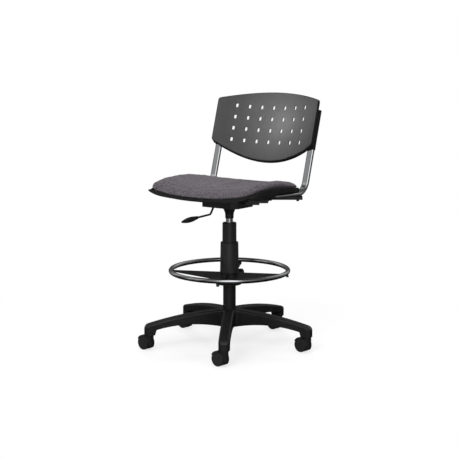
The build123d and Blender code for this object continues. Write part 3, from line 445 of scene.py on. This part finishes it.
def softbox(name, at, size, power, aim=LIGHTS_AIM):
    """Area light. Reflections don't see it: they see the world's cards."""
    data = bpy.data.lights.new(name, "AREA")
    data.shape = "RECTANGLE"
    data.size, data.size_y = size
    data.energy = power
    obj = bpy.data.objects.new(name, data)
    obj.location = at
    obj.rotation_euler = (Vector(aim) - Vector(at)).to_track_quat("-Z", "Y").to_euler()
    obj.visible_glossy = False
    scene.collection.objects.link(obj)


def card_level(tree, split):
    """Level of the pale cards standing round the room, at the bearing of a split vector."""
    bearing = tree.nodes.new("ShaderNodeMath")
    bearing.operation = "ARCTAN2"
    tree.links.new(split.outputs["Y"], bearing.inputs[0])
    tree.links.new(split.outputs["X"], bearing.inputs[1])
    around = tree.nodes.new("ShaderNodeMapRange")
    around.inputs["From Min"].default_value = -math.pi
    around.inputs["From Max"].default_value = math.pi
    tree.links.new(bearing.outputs["Value"], around.inputs["Value"])
    stops = [((degrees + 180) / 360, grey(level / CARD_PEAK)) for degrees, level in ROOM_CARDS]
    cards = ramp_node(tree, stops)
    tree.links.new(around.outputs["Result"], cards.inputs["Fac"])
    return cards.outputs["Color"]


def build_world():
    """White backdrop to the camera; to the object, a dim room with tall pale cards."""
    world = bpy.data.worlds.new("studio")
    world.use_nodes = True
    tree = world.node_tree
    new = tree.nodes.new
    link = tree.links.new
    room = tree.nodes["Background"]
    room.inputs["Strength"].default_value = CARD_PEAK
    split = new("ShaderNodeSeparateXYZ")
    link(new("ShaderNodeTexCoord").outputs["Generated"], split.inputs["Vector"])
    height = ramp_node(tree, [(place, grey(level)) for place, level in ROOM_HEIGHTS])
    lift = new("ShaderNodeMapRange")
    lift.inputs["From Min"].default_value = -1.0
    link(split.outputs["Z"], lift.inputs["Value"])
    link(lift.outputs["Result"], height.inputs["Fac"])
    mixed = new("ShaderNodeMix")
    mixed.data_type = "RGBA"
    mixed.blend_type = "MULTIPLY"
    mixed.inputs["Factor"].default_value = 1.0
    colours = [i for i in mixed.inputs if i.type == "RGBA"]
    link(height.outputs["Color"], colours[0])
    link(card_level(tree, split), colours[1])
    link([o for o in mixed.outputs if o.type == "RGBA"][0], room.inputs["Color"])
    backdrop = new("ShaderNodeBackground")
    backdrop.inputs["Color"].default_value = (1.0, 1.0, 1.0, 1.0)
    backdrop.inputs["Strength"].default_value = 1.0
    choose = new("ShaderNodeMixShader")
    link(new("ShaderNodeLightPath").outputs["Is Camera Ray"], choose.inputs["Fac"])
    link(room.outputs["Background"], choose.inputs[1])
    link(backdrop.outputs["Background"], choose.inputs[2])
    link(choose.outputs["Shader"], tree.nodes["World Output"].inputs["Surface"])
    scene.world = world


build_floor()
build_world()
softbox("key", (0.6, -3.4, 3.0), (1.8, 1.8), 105)
softbox("fill", (3.8, -0.6, 1.6), (0.7, 2.4), 34)
softbox("left_card", (-2.2, -3.6, 1.4), (0.7, 2.4), 24)
softbox("rim", (-2.6, 2.6, 2.6), (1.4, 1.4), 60, aim=(0, 0, 0.7))
softbox("top", (0.3, 0.2, 3.6), (2.4, 2.4), 60)


# ---------------------------------------------------------------- seat cushion
# Sizes are in millimetres, with heights above the floor.
SEAT_SIDE = 242.0
SEAT_WIDEST = 242.1
SEAT_WIDEST_Y = -4.0
SEAT_HALF_LENGTH = 210.0
SIDE_BOW = 6.1
SEAT_CORNER = 236.0
SEAT_FRONT = -214.0
SEAT_NOSE = 16.0
SEAT_REAR = 206.0
FRONT_CORNER = 26.0
REAR_CORNER = 104.0
SMALLEST_CORNER = 6.0
CORNER_SLACK = 0.4
RIM_SIDE_X = 225.0
RIM_SIDE = [
    (-250, 615), (-212, 625), (-165, 632), (-110, 638), (-55, 641), (10, 639), (80, 634), (150, 628),
    (230, 621),
]
RIM_MIDDLE = [(-250, 605), (-205, 608), (-120, 612), (0, 612), (120, 612), (230, 613)]


def rim_height(x, y):
    """Height of the shell's rim line, carried on across the whole seat."""
    side = between(RIM_SIDE, y)
    middle = between(RIM_MIDDLE, y)
    return middle + (side - middle) * min(abs(x) / RIM_SIDE_X, 1.15) ** 2.4


def seat_inside(x, y, inset, corner):
    """Whether a point is within the seat's outline drawn inwards by an inset."""
    x = abs(x)
    wide = SEAT_WIDEST - SIDE_BOW * ((y - SEAT_WIDEST_Y) / SEAT_HALF_LENGTH) ** 2 - inset
    front = SEAT_FRONT - SEAT_NOSE + SEAT_NOSE * (x / SEAT_CORNER) ** 2 + inset
    rear = SEAT_REAR - inset
    if x > wide or y < front or y > rear:
        return False
    for radius, sign, edge in ((corner - inset, -1, SEAT_FRONT + inset), (REAR_CORNER - inset, 1, rear)):
        radius = max(radius, SMALLEST_CORNER)
        cx = SEAT_CORNER - inset - radius
        cy = edge - sign * radius
        if x > cx and (y - cy) * sign > 0 and math.hypot(x - cx, y - cy) > radius + CORNER_SLACK:
            return False
    return True


def seat_reach(angle, inset, corner=FRONT_CORNER):
    """Distance from the seat's middle to its outline in one direction, found by halving."""
    dx, dy = math.cos(angle), math.sin(angle)
    low, high = 0.0, 400.0
    for _ in range(34):
        middle = (low + high) / 2
        if seat_inside(dx * middle, dy * middle, inset, corner):
            low = middle
        else:
            high = middle
    return low


CREST_X = 205.0
CREST = [
    (-230, 646), (-216, 651), (-174, 658), (-113, 663.5), (-50, 665.5), (13, 664.5), (78, 659), (111, 655),
    (148, 650), (179, 646), (206, 642),
]
SADDLE = [(-230, 632), (-205, 637), (-120, 641), (0, 640), (110, 640), (180, 641), (206, 638)]
CUSHION_RINGS = 26
CUSHION_SIDES = 168
CUSHION_START_INSET = 7.5
CUSHION_INSET = 13.3
CUSHION_HALF = 215.0
EDGE_ROLL = 24.0
SWELL_ROOM = 3.0
HELD_ABOVE_RIM = 7.0
FOLD_START, FOLD_END = Vector((-30.0, -166.0)), Vector((120.0, -60.0))


def rolled(distance, radius):
    """Depth that a rounded edge has fallen away, at a distance in from the outline."""
    if distance >= radius:
        return 0.0
    return radius - math.sqrt(max(0.0, radius ** 2 - (radius - distance) ** 2))


def cushion_top(x, y):
    """Height of the cushion's top before its edge rolls over: two side bolsters and a dished middle."""
    crest = smoothly_between(CREST, y)
    saddle = smoothly_between(SADDLE, y)
    across = min(abs(x) / CREST_X, 1.1)
    return saddle + (crest - saddle) * across ** 2.2


def build_cushion():
    """Closed pad, crowned at its sides and rolled at its edge, a little smaller than it swells to."""
    sides = CUSHION_SIDES
    verts = []
    faces = []
    angles = [2 * math.pi * k / sides for k in range(sides)]
    reach = [seat_reach(a, CUSHION_START_INSET) for a in angles]

    def row(share, height):
        """Ring of points at a share of the way out."""
        start = len(verts)
        for a, r in zip(angles, reach):
            x, y = math.cos(a) * r * share, math.sin(a) * r * share
            verts.append(Vector((x, y, height(x, y))) * MM)
        return list(range(start, len(verts)))

    rows = []
    for i in range(1, CUSHION_RINGS + 1):
        share = 1 - (1 - i / CUSHION_RINGS) ** 1.7
        drop = rolled((1 - share) * CUSHION_HALF, EDGE_ROLL) + SWELL_ROOM
        rows.append(row(share, lambda x, y: max(cushion_top(x, y) - drop, rim_height(x, y) + 4.5)))
    rows.append(row(0.995, lambda x, y: rim_height(x, y) + 2.5))
    rows.append(row(0.955, lambda x, y: rim_height(x, y) + 0.5))
    rows.append(row(0.945, lambda x, y: rim_height(x, y) - 6.0))
    for share in (0.85, 0.65, 0.4, 0.18):
        rows.append(row(share, lambda x, y: rim_height(x, y) - 4.0))
    bridge(faces, rows)
    top = len(verts)
    verts.append(Vector((0, 0, cushion_top(0, 0) - SWELL_ROOM)) * MM)
    bottom = len(verts)
    verts.append(Vector((0, 0, rim_height(0, 0) - 4.0)) * MM)
    for k in range(sides):
        n = (k + 1) % sides
        faces.append((top, rows[0][n], rows[0][k]))
        faces.append((bottom, rows[-1][k], rows[-1][n]))
    return mesh_object("seat_cushion_soft", verts, faces, "seat_fabric", "seat")


def inflate(obj, voxel=0.005, pressure=2.0, frames=20, cap=0.004):
    """Voxel remesh, then cloth under pressure; each point moves by no more than the cap."""
    remesh = obj.modifiers.new("remesh", "REMESH")
    remesh.mode = "VOXEL"
    remesh.voxel_size = voxel
    remesh.use_smooth_shade = True
    apply_modifiers(obj)
    rest = [v.co.copy() for v in obj.data.vertices]
    held = obj.vertex_groups.new(name="held")
    for v in obj.data.vertices:
        x, y, z = v.co / MM
        if z < rim_height(x, y) + HELD_ABOVE_RIM:
            held.add([v.index], 1.0, "REPLACE")
    cloth = obj.modifiers.new("cloth", "CLOTH")
    cloth.settings.use_pressure = True
    cloth.settings.uniform_pressure_force = pressure
    cloth.settings.vertex_group_mass = "held"
    cloth.settings.effector_weights.gravity = 0.0
    cloth.settings.tension_stiffness = 12.0
    cloth.settings.compression_stiffness = 8.0
    cloth.settings.bending_stiffness = 0.6
    cloth.settings.quality = 5
    cloth.collision_settings.use_collision = False
    cloth.point_cache.frame_start = 1
    cloth.point_cache.frame_end = frames
    for number in range(1, frames + 1):
        scene.frame_set(number)
    graph = bpy.context.evaluated_depsgraph_get()
    moved = [v.co.copy() for v in obj.evaluated_get(graph).data.vertices]
    obj.modifiers.clear()
    scene.frame_set(1)
    for v, a, b in zip(obj.data.vertices, rest, moved):
        d = b - a
        if d.length > cap:
            d *= cap / d.length
        v.co = a + d
    obj.data.update()


def relax(obj, factor, repeat):
    """Smooth the mesh, and keep the result."""
    smooth = obj.modifiers.new("smooth", "SMOOTH")
    smooth.factor = factor
    smooth.iterations = repeat
    apply_modifiers(obj)


def crease(x, y):
    """Depth of the shallow fold that crosses the sitter's left half of the top, in millimetres."""
    line = FOLD_END - FOLD_START
    p = Vector((x, y)) - FOLD_START
    t = p.dot(line) / line.length_squared
    if not 0 < t < 1:
        return 0.0
    off = (p - line * t).length
    side = 1 if p.cross(line) > 0 else -1
    fade = math.sin(math.pi * t) ** 0.6
    ridge = 3.4 * math.exp(-((side * off - 3.0) / 5.0) ** 2)
    furrow = 3.0 * math.exp(-((side * off + 5.0) / 6.0) ** 2)
    return fade * (ridge - furrow)


def finish_cushion(obj):
    """Add the fold, slow waves and the small pulls near the edge to the swollen top."""
    for v in obj.data.vertices:
        x, y, z = v.co / MM
        rim = rim_height(x, y)
        if z < rim + 2:
            continue
        angle = math.atan2(y, x)
        reach = seat_reach(angle, CUSHION_INSET)
        out = math.hypot(x, y) / reach
        lift = min(1.0, (z - rim - 2) / 14.0)
        z += lift * crease(x, y)
        broad = noise.noise(Vector((x, y, z)) * 0.016) * 1.6
        fine = noise.noise(Vector((x * 1.5, y, 7.0)) * 0.04) * 0.5
        z += lift * (broad + fine)
        pull = max(0.0, (out - 0.86) / 0.14)
        z += lift * pull * 0.7 * math.sin(angle * 46 + 3 * noise.noise(Vector((x, y, 0)) * 0.02))
        v.co = Vector((x, y, z)) * MM
    obj.data.update()


cushion = build_cushion()
inflate(cushion)
relax(cushion, 0.5, 4)
finish_cushion(cushion)
subdivision = cushion.modifiers.new("subdivision", "SUBSURF")
subdivision.levels = 1
subdivision.render_levels = 1
apply_modifiers(cushion)
for polygon in cushion.data.polygons:
    polygon.use_smooth = True
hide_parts("seat_cushion")

# ---------------------------------------------------------------- seat shell
SHELL_SIDES = 264
LIP_INNER = 14.0
LIP_CORNER = 9.0
SHELL_EDGE_SIDE = [
    (-230, 624), (-205, 621), (-182, 612), (-150, 607), (-40, 607), (-34, 618.5), (60, 617), (120, 614),
    (160, 606), (206, 601),
]
SHELL_EDGE_MIDDLE = 597.0
SHELL_EDGE_X = 238.0
PAN_THICKNESS = 4.0
POCKET = 10.0
SHARP_TURN = 38
RIBS_X = (-150.0, -70.0, 70.0, 150.0)
RIBS_Y = (-150.0, -95.0, 130.0)
RIB_HALF = 1.2
RIB_BOTTOM = 599.0
BOSSES_X = (-84.0, 78.0)
BOSSES_Y = (-61.0, 85.0)
BOSS_R = 11.0
BOSS_BORE_R = 4.2
BOSS_BOTTOM = 598.0
BOSS_CHAMFER = 0.8
BOSS_SIDES = 24


def shell_edge(x, y):
    """Height of the moulding's lower edge: it sweeps up into the front corners and over the tubes."""
    base = SHELL_EDGE_MIDDLE + 9 * (x / SEAT_SIDE) ** 2
    side = between(SHELL_EDGE_SIDE, y)
    return base + (side - base) * min(1.0, abs(x) / SHELL_EDGE_X) ** 8


class Loft:
    """Rings of points round the seat, joined into one closed skin."""

    def __init__(self, sides):
        self.verts = []
        self.faces = []
        self.rows = []
        self.angles = [2 * math.pi * k / sides for k in range(sides)]

    def ring(self, inset, height, share=1.0):
        """Ring drawn in from the outline by an inset, then brought to a share of the way out."""
        start = len(self.verts)
        for a in self.angles:
            dx, dy = math.cos(a), math.sin(a)
            outer = seat_reach(a, 0.0, LIP_CORNER)
            x, y = dx * outer, dy * outer
            drawn = inset(x, y) if callable(inset) else inset
            r = (outer - drawn) * share
            x, y = dx * r, dy * r
            self.verts.append(Vector((x, y, height(x, y))) * MM)
        self.rows.append(list(range(start, len(self.verts))))

    def join(self):
        bridge(self.faces, self.rows + self.rows[:1])


def build_seat_shell():
    """Moulded pan: a pocket for the board, a rounded lip, a skirt, and crossing ribs underneath."""

    def front(y):
        """0 along the sides and back, 1 at the nose."""
        return ease(y, -120.0, -205.0)

    def mixed(side, nose):
        """Inset that goes from its side value to its value at the nose."""
        return lambda x, y: side + (nose - side) * front(y)

    loft = Loft(SHELL_SIDES)
    ring = loft.ring

    def floor(x, y):
        return rim_height(x, y) - POCKET

    def below(x, y):
        return rim_height(x, y) - POCKET - PAN_THICKNESS

    def lip_shoulder(x, y):
        rim, edge = rim_height(x, y), shell_edge(x, y)
        return rim - 0.7 + front(y) * (0.28 * (edge - rim))

    def lip_outer(x, y):
        rim, edge = rim_height(x, y), shell_edge(x, y)
        return rim - 3.2 + front(y) * (edge + 4.0 - (rim - 3.2))

    ring(0.0, floor, share=0.03)
    for share in (0.35, 0.7):
        ring(LIP_INNER + 4, floor, share=share)
    ring(LIP_INNER + 2.5, floor)
    ring(LIP_INNER + 0.6, lambda x, y: floor(x, y) + 1.4)
    ring(LIP_INNER, lambda x, y: rim_height(x, y) - 1.6)
    ring(LIP_INNER - 1.4, lambda x, y: rim_height(x, y) - 0.2)
    ring(mixed(3.0, 9.0), lip_shoulder)
    ring(mixed(0.9, 3.0), lip_outer)
    ring(mixed(0.2, 0.6), lambda x, y: lip_outer(x, y) - 2.2 + 1.0 * front(y))
    ring(0.0, lambda x, y: shell_edge(x, y) + 1.6)
    ring(0.8, lambda x, y: shell_edge(x, y) + 0.2)
    ring(2.4, lambda x, y: shell_edge(x, y) + 0.2)
    ring(3.2, lambda x, y: shell_edge(x, y) + 1.8)
    ring(mixed(4.0, 9.0), lambda x, y: max(shell_edge(x, y) + 2.2, below(x, y) - 2.5 - 2.0 * front(y)))
    ring(LIP_INNER, below)
    for share in (0.75, 0.4):
        ring(LIP_INNER + 4, below, share=share)
    ring(0.0, below, share=0.03)
    loft.join()
    verts, faces = loft.verts, loft.faces

    def up(x, y):
        return below(x, y) + 1.0

    for x in RIBS_X:
        for y0 in range(-190, 180, 37):
            box_into(verts, faces, x - RIB_HALF, x + RIB_HALF, y0, y0 + 37, RIB_BOTTOM, up)
    for y in RIBS_Y:
        for x0 in range(-196, 190, 49):
            box_into(verts, faces, x0, x0 + 49, y - RIB_HALF, y + RIB_HALF, RIB_BOTTOM, up)
    shell = mesh_object("seat_shell_moulded", verts, faces, "shell_plastic", "seat")
    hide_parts("seat_shell")
    mark_sharp(shell, SHARP_TURN)


def build_seat_bosses():
    """Screw bosses under the pan, one over each seat bolt."""
    verts, faces = [], []
    for x in BOSSES_X:
        for y in BOSSES_Y:
            top = rim_height(x, y) - POCKET - PAN_THICKNESS + 1.0
            profile = [
                (BOSS_BORE_R, BOSS_BOTTOM), (BOSS_R - BOSS_CHAMFER, BOSS_BOTTOM),
                (BOSS_R, BOSS_BOTTOM + BOSS_CHAMFER), (BOSS_R, top), (BOSS_BORE_R, top),
            ]
            loops = []
            for r, z in profile:
                start = len(verts)
                for k in range(BOSS_SIDES):
                    a = 2 * math.pi * k / BOSS_SIDES
                    verts.append(Vector((x + r * math.cos(a), y + r * math.sin(a), z)) * MM)
                loops.append(list(range(start, len(verts))))
            bridge(faces, loops + loops[:1])
    obj = mesh_object("seat_shell_bosses", verts, faces, "shell_plastic", "seat")
    mark_sharp(obj, SHARP_TURN)


build_seat_shell()
build_seat_bosses()


# ---------------------------------------------------------------- back shell
RECLINE = math.radians(16.7)
BACK_MIDDLE = Vector((0.0, 285.0, 854.0))
BACK_R = 524.0
BACK_ARC = 253.0
BACK_TOP, BACK_TOP_CORNER = 137.0, 95.0
BACK_BOTTOM, BACK_BOTTOM_CORNER = -154.0, -88.0
BACK_CORNER = 9.0
BACK_PLATE = 4.0
BACK_DEPTH = 14.0
BACK_WALL = 3.4
TOP_ROLL = 6.0
BOTTOM_ROLL = 13.0
SIDE_ROLL = 4.5
TUBE_X = 224.0
TUBE_DEPTH = 23.7
SLEEVE_LOW, SLEEVE_HIGH = -97.0, 62.0
SLEEVE_OUTSIDE = (34.4, 19.4)
SLEEVE_INSIDE = (30.6, 15.6)
SLEEVE_CAP = 3.0
FRONT_FACING = 0.92
HOLE_COLUMNS, HOLE_ROWS = 7, 4
HOLE_PITCH = (55.8, 47.4)
HOLE_SIZE = (10.0, 15.0)
HOLE_CORNER = 3.2


def back_place():
    """From the backrest's own frame, with +Z out of its front, to the chair's."""
    c, s = math.cos(RECLINE), math.sin(RECLINE)
    turn = Matrix(((1, 0, 0), (0, s, -c), (0, c, s))).to_4x4()
    return Matrix.Translation(BACK_MIDDLE) @ turn


def back_y(x, top):
    """Upper or lower outline at a side position, with its corner rounded."""
    wide = BACK_R * math.sin(BACK_ARC / BACK_R)
    if top:
        peak, corner, sign = BACK_TOP, BACK_TOP_CORNER, -1
    else:
        peak, corner, sign = BACK_BOTTOM, BACK_BOTTOM_CORNER, 1
    y = peak + (corner - peak) * (x / wide) ** 2
    over = abs(x) - (wide - BACK_CORNER)
    if over > 0:
        y += sign * (BACK_CORNER - math.sqrt(max(0.0, BACK_CORNER ** 2 - over ** 2)))
    return y


def dish(x):
    """How far the curved plate stands forward of its middle at a side position."""
    return BACK_R - math.sqrt(BACK_R ** 2 - x ** 2)


def build_back_shell():
    """Curved plate with rolled edges and a thin rim behind it."""
    place = back_place()
    wide = BACK_R * math.sin(BACK_ARC / BACK_R)
    columns, rows = 96, 64
    verts, faces = [], []

    def graded(i, count):
        """Steps from -1 to 1 that close up towards both ends."""
        t = 2 * i / count - 1
        return math.copysign(1 - (1 - abs(t)) ** 1.6, t)

    def add_point(i, j, depth, inset, roll_edges=False):
        """Point of a grid sheet at a depth behind the front face, drawn in by an inset."""
        x = graded(i, columns) * (wide - inset)
        low = back_y(x, False) + inset
        high = back_y(x, True) - inset
        y = (low + high) / 2 + graded(j, rows) * (high - low) / 2
        if roll_edges:
            sideways = rolled(wide - abs(x), SIDE_ROLL)
            depth += max(rolled(high - y, TOP_ROLL), rolled(y - low, BOTTOM_ROLL), sideways)
        verts.append(place @ Vector((x, y, dish(x) - depth)) * MM)
        return len(verts) - 1

    def layer(depth, inset, roll_edges):
        """One whole grid sheet; returns its first point."""
        grid = [(i, j) for i in range(columns + 1) for j in range(rows + 1)]
        return [add_point(i, j, depth, inset, roll_edges) for i, j in grid][0]

    def at(start, i, j):
        return start + i * (rows + 1) + j

    def sheet(start):
        for i in range(columns):
            for j in range(rows):
                corners = ((i, j), (i + 1, j), (i + 1, j + 1), (i, j + 1))
                faces.append(tuple(at(start, *corner) for corner in corners))

    edge = [(i, 0) for i in range(columns)] + [(columns, j) for j in range(rows)]
    edge += [(i, rows) for i in range(columns, 0, -1)] + [(0, j) for j in range(rows, 0, -1)]

    def edge_ring(depth, inset):
        """Only the border points of a layer, in order."""
        return [add_point(i, j, depth, inset) for i, j in edge]

    front = layer(0.0, 0.0, True)
    sheet(front)
    back = layer(BACK_PLATE, BACK_WALL, False)
    sheet(back)
    bridge(faces, [
        [at(front, *p) for p in edge],
        edge_ring(BACK_DEPTH - 0.8, 0.0), edge_ring(BACK_DEPTH, 0.8),
        edge_ring(BACK_DEPTH, BACK_WALL - 0.6), edge_ring(BACK_DEPTH - 1.0, BACK_WALL),
        [at(back, *p) for p in edge],
    ])
    shell = mesh_object("back_shell_moulded", verts, faces, "shell_plastic", "seat")
    # Painted light and shade on one moulding: faces looking out of the front take the paler backrest
    # plastic, while the rolled edges, rim, back and hole walls take the near-black seat-shell plastic.
    shell.data.materials[0] = MATS["back_plastic"]
    shell.data.materials.append(MATS["shell_plastic"])
    punch_holes(shell, place)
    unplaced = place.inverted()
    for polygon in shell.data.polygons:
        lean = (unplaced @ (polygon.center / MM)).x / BACK_R
        facing = (unplaced.to_3x3() @ polygon.normal).dot(Vector((-lean, 0.0, math.sqrt(1 - lean ** 2))))
        polygon.material_index = 0 if facing > FRONT_FACING else 1
    mark_sharp(shell, 40)
    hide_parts("back_shell")


def punch_holes(shell, place):
    """Columns of rounded slots through the plate, square to its curve, with eased rims."""
    bm = bmesh.new()
    for i in range(HOLE_COLUMNS):
        angle = (i - (HOLE_COLUMNS - 1) / 2) * HOLE_PITCH[0] / BACK_R
        for j in range(HOLE_ROWS):
            y = (j - (HOLE_ROWS - 1) / 2) * HOLE_PITCH[1]
            centre = Vector((BACK_R * math.sin(angle), y, BACK_R * (1 - math.cos(angle))))
            turn = place @ Matrix.Translation(centre) @ Matrix.Rotation(-angle, 4, "Y")
            loops = []
            for depth, grow in ((3.0, 0.9), (-0.6, 0.0), (-12.0, 0.0)):
                loop = []
                for qx, qy, start in ((1, 1, 0), (-1, 1, 90), (-1, -1, 180), (1, -1, 270)):
                    for step in range(5):
                        a = math.radians(start + 22.5 * step)
                        cx = qx * (HOLE_SIZE[0] / 2 - HOLE_CORNER) + (HOLE_CORNER + grow) * math.cos(a)
                        cy = qy * (HOLE_SIZE[1] / 2 - HOLE_CORNER) + (HOLE_CORNER + grow) * math.sin(a)
                        loop.append(bm.verts.new(turn @ Vector((cx, cy, depth)) * MM))
                loops.append(loop)
            for a, b in zip(loops, loops[1:]):
                for k in range(len(a)):
                    n = (k + 1) % len(a)
                    bm.faces.new((a[k], a[n], b[n], b[k]))
            bm.faces.new(loops[0])
            bm.faces.new(loops[-1][::-1])
    bmesh.ops.recalc_face_normals(bm, faces=bm.faces)
    mesh = bpy.data.meshes.new("hole_cutter")
    bm.to_mesh(mesh)
    bm.free()
    cutter = bpy.data.objects.new("hole_cutter", mesh)
    scene.collection.objects.link(cutter)
    cut = shell.modifiers.new("holes", "BOOLEAN")
    cut.operation = "DIFFERENCE"
    cut.solver = "EXACT"
    cut.object = cutter
    apply_modifiers(shell)
    bpy.data.objects.remove(cutter)
    for polygon in shell.data.polygons:
        polygon.use_smooth = True


def oval_points(width, thick, segments=12):
    """Flat oval: two half circles joined by straight sides."""
    r = thick / 2
    points = []
    for side, start in ((1, -90), (-1, 90)):
        for k in range(segments + 1):
            a = math.radians(start + 180 * k / segments)
            points.append((side * (width / 2 - r) + r * math.cos(a), r * math.sin(a)))
    return points


def build_sleeves():
    """Sleeves on the back of the shell that take the tubes, with the ribs that join them to it."""

    def plate_back(x, y):
        return dish(x) - BACK_PLATE + 0.6

    place = back_place()
    verts, faces = [], []
    for side in (-1, 1):
        loops = []
        profile = [
            (SLEEVE_LOW, *SLEEVE_INSIDE), (SLEEVE_LOW, 33.6, 18.6), (SLEEVE_LOW + 0.8, *SLEEVE_OUTSIDE),
            (SLEEVE_HIGH - 1.5, *SLEEVE_OUTSIDE), (SLEEVE_HIGH, 31.4, 16.4), (SLEEVE_HIGH, 2.0, 0.8),
            (SLEEVE_HIGH - SLEEVE_CAP, 2.0, 0.8), (SLEEVE_HIGH - SLEEVE_CAP, *SLEEVE_INSIDE),
        ]
        for y, width, thick in profile:
            start = len(verts)
            for a, b in oval_points(width, thick):
                verts.append(place @ Vector((side * TUBE_X + a, y, TUBE_DEPTH + b)) * MM)
            loops.append(list(range(start, len(verts))))
        bridge(faces, loops + loops[:1])
        x = side * (TUBE_X - 2)
        for y in (SLEEVE_LOW + 22, (SLEEVE_LOW + SLEEVE_HIGH) / 2, SLEEVE_HIGH - 14):
            box_into(verts, faces, x - 13, x + 13, y - 1.5, y + 1.5, TUBE_DEPTH + 8.5, plate_back, place)
        for dx in (-10.0, 8.0):
            box_into(
                verts, faces, x + dx - RIB_HALF, x + dx + RIB_HALF, SLEEVE_LOW + 2, SLEEVE_HIGH - 4,
                TUBE_DEPTH + 8.0, plate_back, place)
    obj = mesh_object("back_shell_sleeves", verts, faces, "shell_plastic", "seat")
    mark_sharp(obj, SHARP_TURN)


build_back_shell()
build_sleeves()
